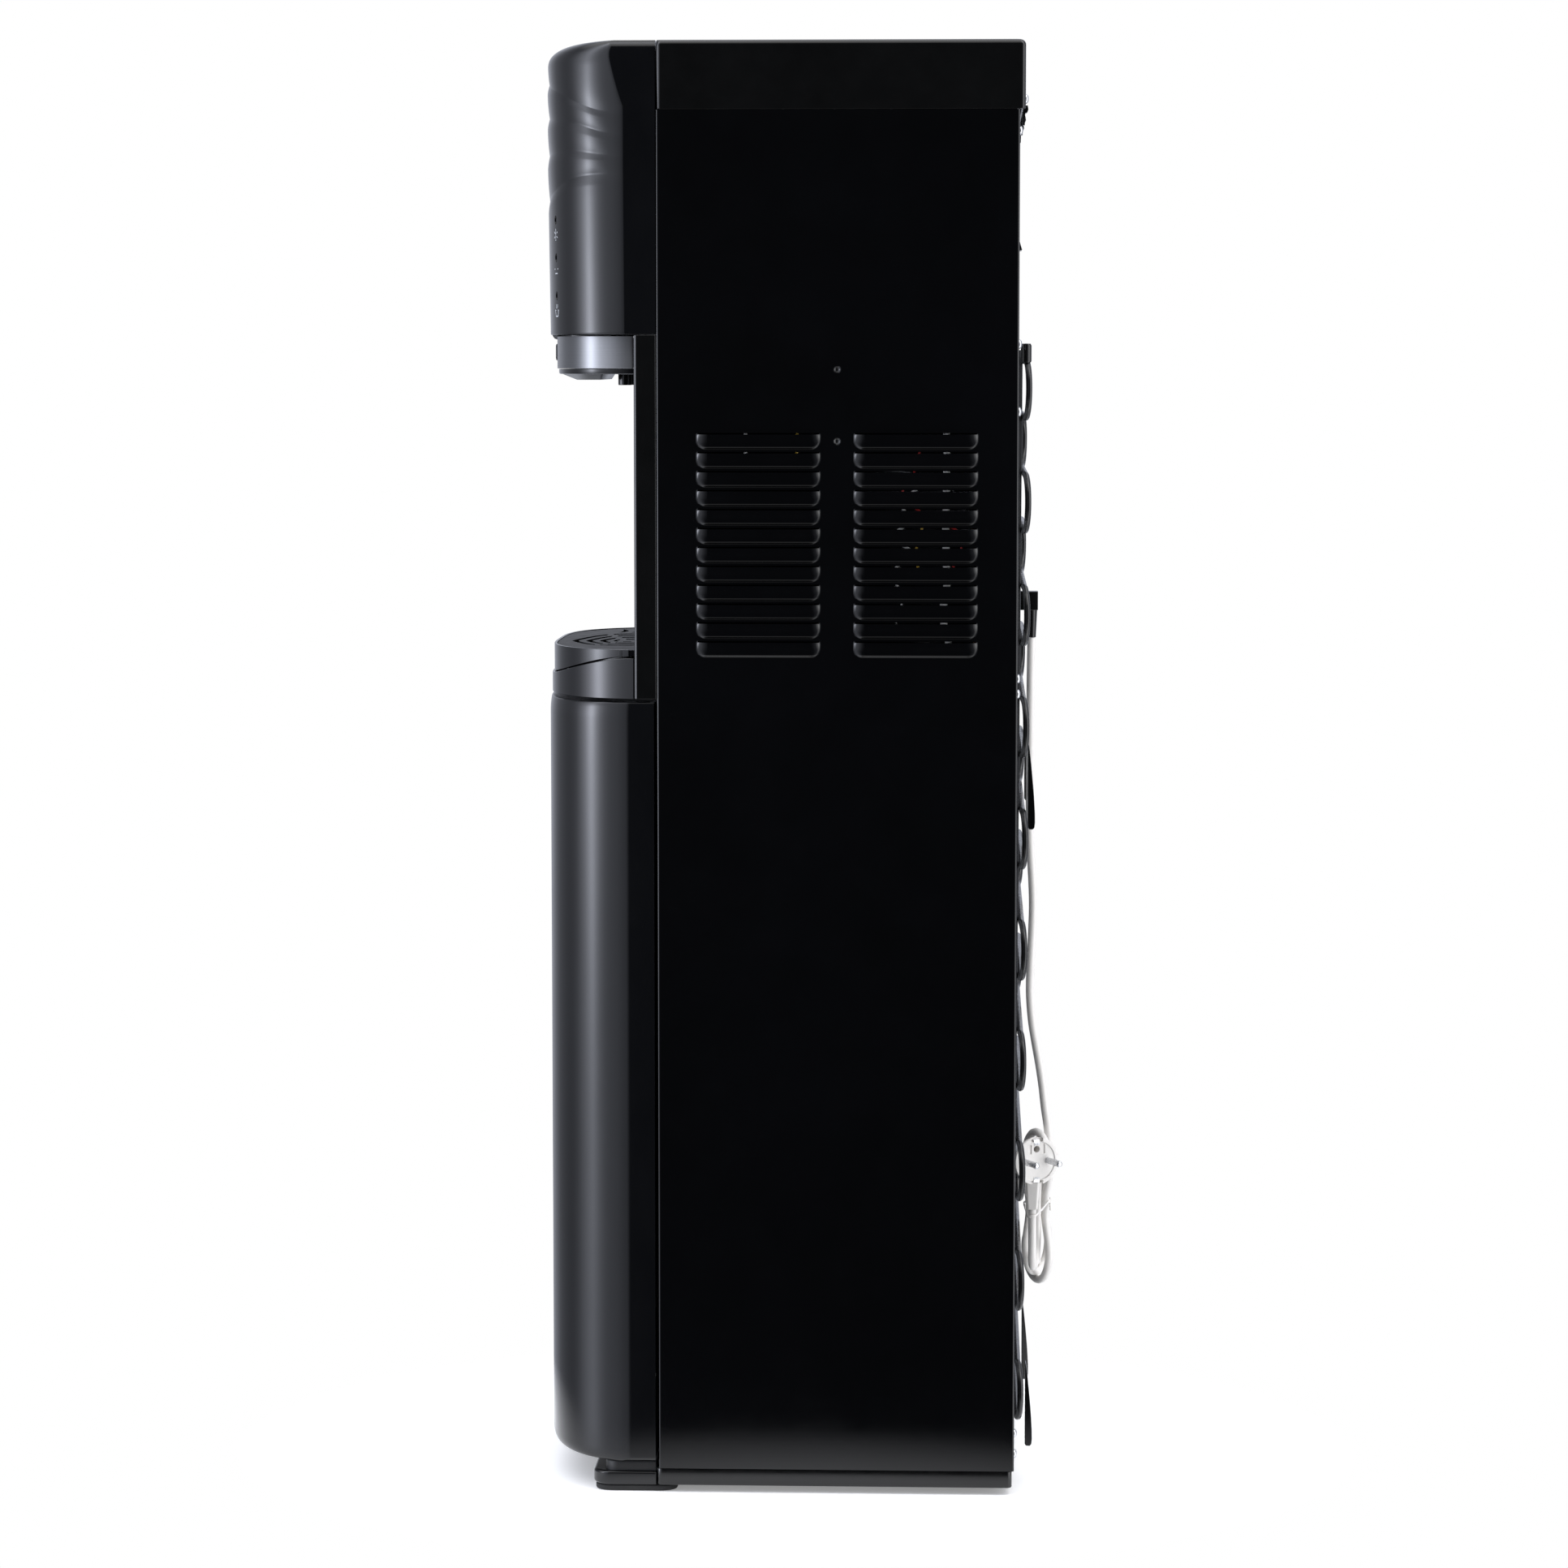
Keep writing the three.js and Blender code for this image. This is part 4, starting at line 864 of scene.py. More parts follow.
def lamps_and_icons():
    """Three small oval lamps, with a snowflake, a scale and a cup printed under them."""
    for i, z in enumerate(LAMP["z"]):
        rows = []
        for shrink, depth in ((1.0, 4.0), (1.0, 1.0), (0.9, 0.85), (0.6, 0.75), (0.2, 0.7)):
            row = []
            for k in range(28):
                a = 2 * math.pi * k / 28
                x = LAMP["x"] + LAMP["wide"] * shrink * math.cos(a)
                h = z + LAMP["tall"] * shrink * math.sin(a)
                row.append((x, head_y(x, h) + depth, h))
            rows.append(row)
        lens = Solid().loft(rows).object(f"lamp_{i + 1}")
        settle(lens, "lamp", stands_for=(f"indicator_lens_{i + 1}",), crease=50)
    icons = {
        "icon_cold": (913.7, [[(0, -4), (0, 4)], [(-3.5, -2), (3.5, 2)], [(-3.5, 2), (3.5, -2)]]),
        "icon_power": (887.6, [[(-4, 1.6), (4, 1.6)], [(-2.6, -1.6), (2.6, -1.6)]]),
        "icon_hot": (858.9, [[(-3.7, 0.7), (-2.6, -3.7), (2.6, -3.7), (3.7, 0.7), (-3.7, 0.7)],
                             [(-1.5, 2.3), (-0.9, 4.6)], [(1.3, 2.3), (1.9, 4.6)]]),
    }
    for name, (z, strokes) in icons.items():
        ink = Solid()
        for stroke in strokes:
            for (x0, z0), (x1, z1) in zip(stroke, stroke[1:]):
                along = Vector((x1 - x0, z1 - z0)).normalized() * 0.36
                across = Vector((-along.y, along.x))
                ring = [(x0 + across.x - along.x, z0 + across.y - along.y),
                        (x0 - across.x - along.x, z0 - across.y - along.y),
                        (x1 - across.x + along.x, z1 - across.y + along.y),
                        (x1 + across.x + along.x, z1 + across.y + along.y)]
                ring = [(LAMP["x"] + px, z + pz) for px, pz in ring]
                ink.loft([[(px, head_y(px, pz) + depth, pz) for px, pz in ring] for depth in (0.15, -0.06)])
        settle(ink.object(name), "print")


# ------------------------------------------------------------------ side panels

def louvre_height(y, z):
    """How far the sheet is pressed out at a place: hoods, and two small dimples."""
    rise = 0.0
    row = int((LOUVRE["top"] + 1.2 - z) // LOUVRE["pitch"])
    if 0 <= row < LOUVRE["rows"]:
        high = LOUVRE["top"] - row * LOUVRE["pitch"]
        low = high - LOUVRE["height"]
        if low < z <= high + 0.001:
            up = z - low
            full = LOUVRE["bulge"]
            slope = 1.3 * smooth_step(up / 2.3) if up < 2.3 else 1.3 + 1.3 * smooth_step((up - 2.3) / 8.7)
            for middle in LOUVRE_COLUMNS:
                past = abs(y - middle) - (LOUVRE["length"] / 2 - 8.3)
                if past <= 0:
                    rise = slope
                elif past < 8.3:
                    q = past / 8.3
                    dome = full * (1 - q**2.5 - (max(0.0, low + 8.3 - z) / 8.3) ** 2.2)
                    rise = max(0.0, min(slope * (1 - 0.25 * q - 0.75 * q**3), dome))
    for z0 in (817.0, 766.0):
        r = math.hypot(y - 36.9, z - z0)
        if r < 2.35:
            rise -= 1.1 * (1 - (r / 2.35) ** 2)
    return rise


def spread(*stretches):
    """Places along a line: each stretch is (from, to, steps)."""
    places = []
    for a, b, steps in stretches:
        places += [a + (b - a) * k / steps for k in range(steps)]
    return places + [stretches[-1][1]]


def side_panel(side, sign):
    front, rear, bend = PANEL["front"], PANEL["rear"], PANEL["bend"]
    ys = [front + bend, front + bend + 0.8]
    half = LOUVRE["length"] / 2
    edges = sorted([middle + d for middle in LOUVRE_COLUMNS for d in (-half, half)])
    ys += spread((edges[0] - 0.6, edges[0], 1), (edges[0], edges[0] + 8.3, 11),
                 (edges[0] + 8.3, edges[1] - 8.3, 3),
                 (edges[1] - 8.3, edges[1], 11), (edges[1], edges[1] + 0.6, 1), (edges[1] + 0.6, 34.0, 1),
                 (34.0, 34.5, 1), (34.5, 39.3, 8), (39.3, 39.8, 1), (39.8, edges[2] - 0.6, 1),
                 (edges[2] - 0.6, edges[2], 1), (edges[2], edges[2] + 8.3, 11),
                 (edges[2] + 8.3, edges[3] - 8.3, 3),
                 (edges[3] - 8.3, edges[3], 11), (edges[3], edges[3] + 0.6, 1))
    ys += [rear - bend - 0.8, rear - bend]
    plan = [(HALF - 12.0, front, None), (HALF - bend - 0.8, front, None)]
    for k in range(7):
        a = math.pi / 2 * k / 6
        plan.append((HALF - bend + bend * math.sin(a), front + bend - bend * math.cos(a), None))
    plan += [(HALF, y, y) for y in ys[1:-1]]
    for k in range(7):
        a = math.pi / 2 * k / 6
        plan.append((HALF - bend + bend * math.cos(a), rear - bend + bend * math.sin(a), None))
    plan += [(HALF - bend - 0.8, rear, None), (HALF - 15.0, rear, None)]
    zs = [PANEL["bottom"], PANEL["bottom"] + 1.0]
    for row in range(LOUVRE["rows"] - 1, -1, -1):
        high = LOUVRE["top"] - row * LOUVRE["pitch"]
        low = high - LOUVRE["height"]
        zs += [low - 0.5, low] + [low + 2.3 * k / 5 for k in range(1, 6)]
        zs += [low + 2.3 + 8.7 * k / 7 for k in range(1, 8)] + [high + 1.0]
    around = (-3.4, -2.6, -1.8, -0.9, 0, 0.9, 1.8, 2.6, 3.4)
    zs += [z0 + d for z0 in (817, 766) for d in around]
    zs = sorted(set(round(z, 3) for z in zs + [PANEL["top"] - 1.0, PANEL["top"]]))
    points, count = [], len(plan)
    for z in zs:
        for x, y, flat in plan:
            lift = louvre_height(y, z) if flat is not None else 0.0
            points.append((sign * (x + lift), y, z))
    faces = []
    for r in range(len(zs) - 1):
        z0, z1 = zs[r], zs[r + 1]
        row = round((LOUVRE["top"] - z0) / LOUVRE["pitch"])
        slit = abs(LOUVRE["top"] - row * LOUVRE["pitch"] - z0) < 0.01 and z1 - z0 < 1.1
        for i in range(count - 1):
            y = (plan[i][1] + plan[i + 1][1]) / 2
            if slit and plan[i][2] is not None and any(abs(y - m) < half - 1 for m in LOUVRE_COLUMNS):
                continue
            face = (r * count + i, r * count + i + 1, (r + 1) * count + i + 1, (r + 1) * count + i)
            faces.append(face if sign > 0 else tuple(reversed(face)))
    panel = Solid().add(points, faces).object(f"panel_{side}")
    sheet = panel.modifiers.new("sheet", "SOLIDIFY")
    sheet.thickness = PANEL["sheet"] * MM
    sheet.offset = -1
    applied(panel)
    settle(panel, "paint", stands_for=(f"side_panel_{side}",), crease=50)


def top_cover():
    front, rear, low, high = -92.2, 170.4, 1001.0, HEIGHT
    rows = []
    for inset, z in ((3.4, high - 3.4), (3.0, low + 0.3), (2.6, low), (0.4, low), (0.0, low + 0.5)):
        rows.append((inset, inset, z))
    radius = 4.2
    for k in range(9):
        a = math.pi / 2 * k / 8
        side = radius * (1 - math.cos(a))
        rows.append((side, min(0.4, side), high - radius + radius * math.sin(a)))
    rings = []
    for inset, front_inset, z in rows:
        plan = rounded_rectangle(-HALF + inset, HALF - inset, front + front_inset, rear - inset, 3.2)
        rings.append(at_height(plan, z))
    cover = Solid().loft(rings).object("cover")
    settle(cover, "satin_black", stands_for=("top_cover",), crease=40)
    hook = [(169.6, 1003.6), (171.9, 1003.6), (172.3, 1000.6), (171.4, 998.4), (170.1, 998.0),
            (169.8, 989.6),
            (168.4, 989.6), (168.4, 1000.4), (169.6, 1001.2)]
    hooks = Solid()
    for x in (-120, 0, 143):
        hooks.prism_x(hook, x - 4, x + 4)
    settle(bevelled(hooks.object("cover_hooks"), 0.3, 2), "satin_black")


# ------------------------------------------------------------------ niche, band and outlets

BAND = {"bottom": 817.6, "top": 840.9, "front": -172.5, "rear": -109.2, "half": 146.7, "sheet": 2.0}
BUTTON = {"spacing": 42.0, "width": 29.2, "height": 12.2, "z": 829.5}


def standing_wall(outer, inner, low, high):
    """A wall along a line, between two heights that may change with the place."""
    rows = []
    for (x, y, *_), (u, v, *_) in zip(outer, inner):
        rows.append([(x, y, low(x, y)), (u, v, low(x, y)), (u, v, high(x, y)), (x, y, high(x, y))])
    count = 4
    faces = []
    for r in range(len(rows) - 1):
        for i in range(count):
            j = (i + 1) % count
            faces.append((r * count + i, (r + 1) * count + i, (r + 1) * count + j, r * count + j))
    last = (len(rows) - 1) * count
    faces += [(0, 1, 2, 3), (last + 3, last + 2, last + 1, last)]
    return Solid().add([p for row in rows for p in row], faces)


def front_frame():
    behind = PANEL["front"] - 0.3
    cheek, back, inside = -108.5, -72.0, 137.0
    right = [(HALF, cheek + 1.5), (HALF, behind), (139.7, behind), (139.7, back)]
    inner = [(-inside, back - 2.5), (-inside, -95.5), (-152.5, cheek), (-HALF + 1.2, cheek),
             (-HALF, cheek + 1.5)]
    section = (right + [(-x, y) for x, y in reversed(right[1:])] + list(reversed(inner))
               + [(-x, y) for x, y in inner[:-1]])
    frame_piece = Solid().prism(section, 581.0, 841.6).object("niche")
    bevelled(frame_piece, 0.5, 3, 25)
    settle(frame_piece, "satin_black", stands_for=("front_frame",))
    ledge = Solid().box(-139, 139, -96, -73, 581, 583.4).object("niche_ledge")
    settle(bevelled(ledge, 0.3, 2), "satin_black")


def with_ends(bow, front, half, rear, inset):
    """A bowed line whose ends run straight back to the rear."""
    body = [(x, y) for x, y, _, _ in bow_line(bow, front, half, inset)]
    side = half - inset
    ends = [rear + (body[0][1] - rear) * k / 4 for k in range(4)]
    return [(-side, y) for y in ends] + body + [(side, y) for y in reversed(ends)]


def faucet_band():
    outer = with_ends(BAND_BOW, BAND["front"], BAND["half"], BAND["rear"], 0.0)
    inner = with_ends(BAND_BOW, BAND["front"], BAND["half"], BAND["rear"], BAND["sheet"])
    band = standing_wall(outer, inner, lambda x, y: BAND["bottom"], lambda x, y: BAND["top"]).object("band")
    bevelled(band, 0.45, 3)
    windows = []
    for i in (-1, 0, 1):
        w, h = BUTTON["width"] / 2 + 0.5, BUTTON["height"] / 2 + 0.5
        x = i * BUTTON["spacing"]
        ring = rounded_rectangle(x - w, x + w, BUTTON["z"] - h, BUTTON["z"] + h, 3.0)
        windows.append(Solid().loft([[(u, y, v) for u, v in ring] for y in (-160, -182)]).object("window"))
    carved(band, *windows)
    settle(band, "brushed", stands_for=("faucet_band",))


def outlet_cover():
    rows = []
    for inset, z in ((2.4, 813.6), (1.5, 813.9), (1.2, 814.6), (1.2, 817.2)):
        rows.append(at_height(bow_plan(BAND_BOW, BAND["front"], BAND["half"], BAND["rear"], inset), z))
    plate = Solid().loft(rows).object("outlet")
    chin = []
    for half, y0, y1, z in ((50, -157.2, -141, 809.2), (52, -158.2, -140, 809.3),
                            (62.5, -167.4, -138, 813.4),
                            (64, -168.8, -137.6, 814.4)):
        chin.append(at_height(rounded_rectangle(-half, half, y0, y1, 3.0, 4), z))
    settle(Solid().loft(chin).object("outlet_chin"), "brushed")
    block = Solid()
    for x, y, z in ((72, -143, 808.2), (70, -139.5, 806.4), (68, -135, 804.7)):
        block.box(-x, x, y, -109, z, 814.0)
    stepped = bevelled(block.object("outlet_block"), 0.5, 3)
    bores = [Solid().turn([(5.4, 795), (5.4, 830)], (i * 30, -124, 0)).object("bore") for i in (-1, 0, 1)]
    more = [Solid().turn([(5.4, 795), (5.4, 830)], (i * 30, -124, 0)).object("bore") for i in (-1, 0, 1)]
    carved(stepped, *bores)
    carved(plate, *more)
    settle(stepped, "gloss_black")
    settle(plate, "gloss_black", stands_for=("outlet_cover",))
    for kind, i in (("hot", -1), ("room", 0), ("cold", 1)):
        profile = [(3.0, 812), (3.0, 805.7), (3.4, 805.2), (4.6, 805.2), (5.0, 805.6), (5.0, 816),
                   (0.01, 816)]
        nozzle = Solid().turn([(0.01, 812), *profile], (i * 30, -124, 0), sides=40).object(f"spout_{kind}")
        settle(nozzle, "satin_black", stands_for=(f"nozzle_{kind}",))


def buttons():
    for kind, i in (("hot", -1), ("room", 0), ("cold", 1)):
        rows = []
        x, z = i * BUTTON["spacing"], BUTTON["z"]
        for inset, y in ((0.0, -166.5), (0.0, -172.2), (0.25, -172.7), (0.8, -173.0), (2.2, -173.1),
                         (4.4, -172.95)):
            w, h = BUTTON["width"] / 2 - inset, BUTTON["height"] / 2 - inset
            ring = rounded_rectangle(x - w, x + w, z - h, z + h, max(0.4, 2.6 - inset * 0.5))
            rows.append([(u, y, v) for u, v in ring])
        key = Solid().loft(rows).object(f"key_{kind}")
        settle(key, "gloss_black", body=f"{kind}_button", stands_for=(f"button_{kind}",), crease=40)


# ------------------------------------------------------------------ tray, grille and apron

TRAY = {"rim": 615.7, "front": -176.4, "rear": -77.0, "half": 141.6}
APRON = {"bottom": 580.4, "front": -177.7, "rear": -109.3, "wall": 3.0, "half": 150.4}


def parting_line(x, y):
    crest = min(1.0, max(0.0, (30 - x) / 90))
    t = min(1.0, max(0.0, (y + 175) / 64) + 0.2 * crest * crest * (3 - 2 * crest))
    return 595 + 15.3 * math.sin(math.pi / 2 * t)


def front_apron():
    half, rear, wall = APRON["half"], APRON["rear"], APRON["wall"]
    outer = bow_line(APRON_BOW, APRON["front"], half)
    inner = bow_line(APRON_BOW, APRON["front"], half, wall)
    ring = standing_wall(outer, inner,
                         lambda x, y: APRON["bottom"], lambda x, y: parting_line(x, y) - 0.3)
    apron = bevelled(ring.object("apron"), 0.55, 4)
    settle(apron, "gloss_black", stands_for=("front_apron",))
    plan = bow_plan(APRON_BOW, APRON["front"], half, rear, wall + 0.1)
    floor = Solid().prism(plan, APRON["bottom"], APRON["bottom"] + 2.4)
    settle(floor.object("apron_floor"), "gloss_black")


def tray_plan(inset=0.0):
    """The tray narrows behind the niche's cheeks."""
    half = TRAY["half"]
    line = [(x, y) for x, y, _, _ in bow_line(TRAY_BOW, TRAY["front"], half, inset)]
    right = [(half - inset, -102.5), (135.8 - inset, -96), (135.8 - inset, TRAY["rear"] - inset)]
    return line + right + [(-x, y) for x, y in reversed(right)]


def drip_tray():
    half = TRAY["half"]
    outer = bow_line(TRAY_BOW, TRAY["front"], half)
    inner = bow_line(TRAY_BOW, TRAY["front"], half, 1.9)
    skirt = standing_wall(outer, inner, lambda x, y: parting_line(x, y) + 0.3, lambda x, y: TRAY["rim"])
    settle(bevelled(skirt.object("tray_skirt"), 0.4, 3), "gloss_black", body="tray")
    catches = Solid()
    for sign in (-1, 1):
        plan = [(sign * x, y) for x, y in ((137.5, -121), (139.6, -121), (140.35, -118.4), (137.5, -118.4))]
        catches.prism(plan if sign > 0 else list(reversed(plan)), 609.3, 615.0)
    settle(bevelled(catches.object("tray_catches"), 0.3, 2), "matt_and_shade", body="tray")
    rows = []
    for inset, z in ((11.4, 586.4), (11.4, 612.6), (2.0, 612.7), (1.9, 615.1), (1.8, 615.3), (1.6, 615.4),
                     (1.3, 615.4), (1.1, 615.3), (1.0, 615.0), (1.0, 611.2), (8.8, 611.1), (9.0, 584.4),
                     (9.6, 584.0)):
        rows.append(at_height(tray_plan(inset), z))
    tray = Solid().loft(list(reversed(rows))).object("tray")
    settle(tray, "gloss_black", body="tray", stands_for=("drip_tray",), crease=30)


GRILLE = {"bottom": 613.0, "top": 615.1, "inset": 2.3}
LEAF = {"x": 25.0, "y": -122.5, "left": 1.0, "right": 0.65, "rib": 4.0, "tip": 0.45, "end": 0.985, "power": 3}
LEAF_RINGS = (((42.4, 90), (37.6, 80)), ((32, 68), (27.2, 58)), ((21.7, 46), (16.9, 36)),
              ((11.4, 24), (8.6, 14)))
CRESCENT = {"x": -97.0, "half": 22.0, "y": -137.2, "pitch": 9.5, "count": 6, "front": 1.6, "rear": 5.8}


def leaf_edge(ring, start, finish, side):
    """One edge of a slot along a ring, on the narrower right (1) or the left (-1)."""
    length, width = ring
    across = LEAF["right"] if side > 0 else -LEAF["left"]
    points = []
    for k in range(15):
        y = start + (finish - start) * k / 14
        half = width * max(0.0, 1 - abs(y / length) ** LEAF["power"])
        points.append((LEAF["x"] + across * half, LEAF["y"] + y))
    return points


def leaf_slots():
    """Each ring of the leaf has a slot on each side and one round each point, with ribs between them."""
    slots = []
    for outer, inner in LEAF_RINGS:
        near = LEAF["tip"] * outer[0] - LEAF["rib"] / 2
        far = near + LEAF["rib"]
        for side in (-1, 1):
            slots.append(leaf_edge(outer, -near, near, side) + leaf_edge(inner, near, -near, side))
            outer_end, inner_end = side * LEAF["end"] * outer[0], side * LEAF["end"] * inner[0]
            slots.append(leaf_edge(outer, side * far, outer_end, 1)
                         + leaf_edge(outer, outer_end, side * far, -1)
                         + leaf_edge(inner, side * far, inner_end, -1)
                         + leaf_edge(inner, inner_end, side * far, 1))
    return slots


def crescent(y):
    """A moon with its horns forward."""
    x, half = CRESCENT["x"], CRESCENT["half"]
    bends = [math.sin(math.pi * k / 14) for k in range(15)]
    rear = [(x - half + half * k / 7, y + CRESCENT["rear"] * bends[k] ** 0.9) for k in range(15)]
    front = [(x + half - half * k / 7, y + CRESCENT["front"] * bends[k]) for k in range(1, 14)]
    return rear + front


def drip_grille():
    """Cut from one flat curve, so that its slots stay crisp."""
    curve = bpy.data.curves.new("grille", "CURVE")
    curve.dimensions = "2D"
    curve.fill_mode = "BOTH"
    outlines = [tray_plan(GRILLE["inset"])] + leaf_slots()
    for k in range(CRESCENT["count"]):
        outlines.append(crescent(CRESCENT["y"] + CRESCENT["pitch"] * k))
    for outline in outlines:
        path = curve.splines.new("POLY")
        path.points.add(len(outline) - 1)
        for point, (x, y) in zip(path.points, outline):
            point.co = (x * MM, y * MM, 0, 1)
        path.use_cyclic_u = True
    curve.extrude = (GRILLE["top"] - GRILLE["bottom"]) / 2 * MM
    obj = bpy.data.objects.new("grille", curve)
    bpy.context.scene.collection.objects.link(obj)
    obj.location.z = (GRILLE["top"] + GRILLE["bottom"]) / 2 * MM
    bpy.context.view_layer.update()
    mesh = bpy.data.meshes.new_from_object(obj.evaluated_get(bpy.context.evaluated_depsgraph_get()))
    mesh.transform(obj.matrix_world)
    bpy.data.objects.remove(obj)
    plate = bpy.data.objects.new("grille_plate", mesh)
    bpy.context.scene.collection.objects.link(plate)
    weld = plate.modifiers.new("weld", "WELD")
    weld.merge_threshold = 0.00001
    applied(plate)
    settle(plate, "grille", body="grille", stands_for=("drip_grille",))


# ------------------------------------------------------------------ door

DOOR = {"bottom": 23.0, "top": 578.4, "rear": -94.6, "wall": 2.6}
DOOR_ROUND = {"depth": 9.0, "height": 9.0, "power": 3.2}


def door_outline(z, inset=0.0, rear=None, steps=120):
    high = max(0.0, (z - (DOOR["top"] - 12)) / 12)
    back = lean_back(DOOR_ROUND, 1 - (z - DOOR["bottom"]) / DOOR_ROUND["height"]) + 1.2 * high * high
    edge = max(0.0, DOOR["bottom"] + 2 - z)
    bow = dict(DOOR_BOW, depth=DOOR_BOW["depth"] - back)
    return at_height(bow_plan(bow, FRONT + back, HALF - edge, rear or DOOR["rear"], inset, steps), z)


def door():
    rows = []
    low, high = DOOR["bottom"], DOOR["top"]
    for rise in (0, 0.08, 0.2, 0.4, 0.7, 1.1, 1.6, 2.2, 3.0, 4.0, 5.2, 6.4, 7.6, 9):
        rows.append(door_outline(low + rise))
    rows += [door_outline(z) for z in (120, 200, 300, 400, 500, 560)]
    rows += [door_outline(high - drop) for drop in (11.5, 9, 6, 3.5, 1.4)]
    for inset, drop in ((0.12, 0.7), (0.4, 0.2), (0.9, 0)):
        rows.append([(x, y, high - drop) for x, y, _ in door_outline(high - drop, inset)])
    shell = Solid().loft(rows).object("door_shell")
    inner = [door_outline(z, DOOR["wall"], DOOR["rear"] + 5, 40) for z in (26, 27.5, 29.5, 32, 35, 37, 575.4)]
    tools = [Solid().loft(inner).object("hollow"),
             Solid().turn([(1.9, -10), (1.9, 700)], (-150.5, -99.8, 0), sides=24).object("bore"),
             Solid().box(-HALF - 1, -HALF + 1, DOOR["rear"] - 0.8, DOOR["rear"] + 1, 0, 700).object("corner")]
    carved(shell, *tools)
    settle(shell, "gloss_black", body="door", stands_for=("door",), crease=34)


# ------------------------------------------------------------------ base

def lobe_plan(x0, x1, front, rear, radius, steps):
    """Rounded at the front and nearly square at the rear."""
    soft = 0.8
    line = []
    for x, y in rounded_rectangle(x0, x1, front, rear, radius, steps):
        if y > (front + rear) / 2:
            side, turned = (x1, -1) if x > (x0 + x1) / 2 else (x0, 1)
            x = side + turned * soft + (x - side - turned * radius) * soft / radius
            y = rear - soft + (y - rear + radius) * soft / radius
        line.append((x, y))
    return line


def front_skirt():
    """Two rounded lobes under the door, joined by a bar, with a matt black shoulder above them, painted shade
    for the dark recess between the door and the lobes.
    """
    lobes = Solid()
    shoulders = Solid()
    for sign in (-1, 1):
        rows = []
        x0, x1 = sorted((sign * 94.0, sign * 152.0))
        for inset, z in ((2.2, 4.9), (0.9, 5.2), (0.2, 6.2), (0.0, 7.6), (0.0, 13.4), (0.5, 14.4),
                         (1.3, 14.9),
                         (2.6, 15.0)):
            rows.append(at_height(lobe_plan(x0 + inset, x1 - inset, -141 + inset, -94.4, 12.5, 10), z))
        lobes.loft(rows)
        rows = []
        for inset, z in ((3.0, 14.9), (3.0, 20.6), (3.6, 22.0), (5.0, 22.6)):
            rows.append(at_height(lobe_plan(x0 + inset, x1 - inset, -135 + inset, -94.4, 9.5, 8), z))
        shoulders.loft(rows)
    settle(lobes.object("skirt_lobes"), "gloss_black", stands_for=("front_skirt",))
    # The shoulders are matt black: painted shade, standing in for the shade in the recess under the door.
    settle(shoulders.object("skirt_shoulders"), "matt_and_shade")
    bar = bevelled(Solid().box(-96, 96, -112, -94.4, 5.2, 15).object("skirt_bar"), 1.2, 4)
    settle(bar, "satin_black")
    for side, sign in (("left", -1), ("right", 1)):
        x = sign * 123.0
        rows = []
        for inset, z in ((1.4, 0.0), (0.4, 0.35), (0.0, 1.2), (0.0, 3.6), (0.5, 4.4), (1.2, 4.6)):
            plan = rounded_rectangle(x - 27 + inset, x + 27 - inset, -139.5 + inset, -79.5 - inset, 11, 10)
            rows.append(at_height(plan, z))
        pad = Solid().loft(rows).object(f"front_pad_{side}")
        settle(pad, "rubber", stands_for=(f"front_foot_pad_{side}",))
        rear = [(12.4, 0), (13.5, 0.5), (13.8, 1.4), (12.2, 4.7), (11.6, 5.1)]
        foot = Solid().turn(rear, (sign * 108.0, 138.0, 0), sides=48).object(f"rear_pad_{side}")
        settle(foot, "rubber", stands_for=(f"rear_foot_{side}",))


# ------------------------------------------------------------------ back

COIL = {"rows": 20, "pitch": 40.6, "bottom": 51.6, "half": 121.0, "tube": 2.3, "near": 168.8, "lean": 0.0038}


def coil_y(z):
    return COIL["near"] + COIL["lean"] * (z - COIL["bottom"])


def condenser():
    radius = COIL["pitch"] / 2
    path = []
    for row in range(COIL["rows"]):
        z = COIL["bottom"] + row * COIL["pitch"]
        way = 1 if row % 2 == 0 else -1
        for k in range(5):
            path.append((way * COIL["half"] * (k / 2 - 1), coil_y(z), z))
        if row + 1 < COIL["rows"]:
            for k in range(1, 18):
                a = -math.pi / 2 + math.pi * k / 18
                h = z + radius * (1 + math.sin(a))
                path.append((way * (COIL["half"] + radius * math.cos(a)), coil_y(h) + 2.2 * math.cos(a), h))
    coil = Solid().tube(path, COIL["tube"], 14).object("coil")
    settle(coil, "coil_black", stands_for=("condenser_coil",))
    wires = Solid()
    top = COIL["bottom"] + (COIL["rows"] - 1) * COIL["pitch"]
    for k in range(37):
        x = -113.4 + 6.3 * k
        low, high = COIL["bottom"] - 8, top + 8
        wires.tube([(x, coil_y(z) - 3.0, z) for z in (low, (low + high) / 2, high)], 0.75, 6)
    settle(wires.object("coil_wires"), "coil_black")
    profile = [(0.01, top - 1), (3.4, top - 1), (3.9, top), (3.9, top + 11), (3.2, top + 12.4),
               (0.01, top + 12.6)]
    cap = Solid().turn(profile, (COIL["half"] + 9, coil_y(top), 0), sides=28)
    settle(cap.object("coil_cap"), "satin_black")


def spacers():
    """Wedges that keep the back off the wall."""
    section = [(174.7, 1.5), (175.6, 0.2), (178.4, 0.0), (179.6, 1.4), (180, 5), (179.9, 12),
               (179.2, 24), (178.0, 38),
               (176.8, 50), (176.0, 57), (175.4, 61), (174.9, 62), (174.7, 61)]
    for level, low in (("upper", 484.0), ("lower", 28.0)):
        for side, sign in (("left", -1), ("right", 1)):
            x = sign * 110.0
            raised = [(y, z + low) for y, z in section]
            wedge = Solid().prism_x(raised, x - 6, x + 6).object(f"spacer_{level}_{side}")
            settle(bevelled(wedge, 0.8, 3), "satin_black", stands_for=(f"wall_spacer_{level}_{side}",))


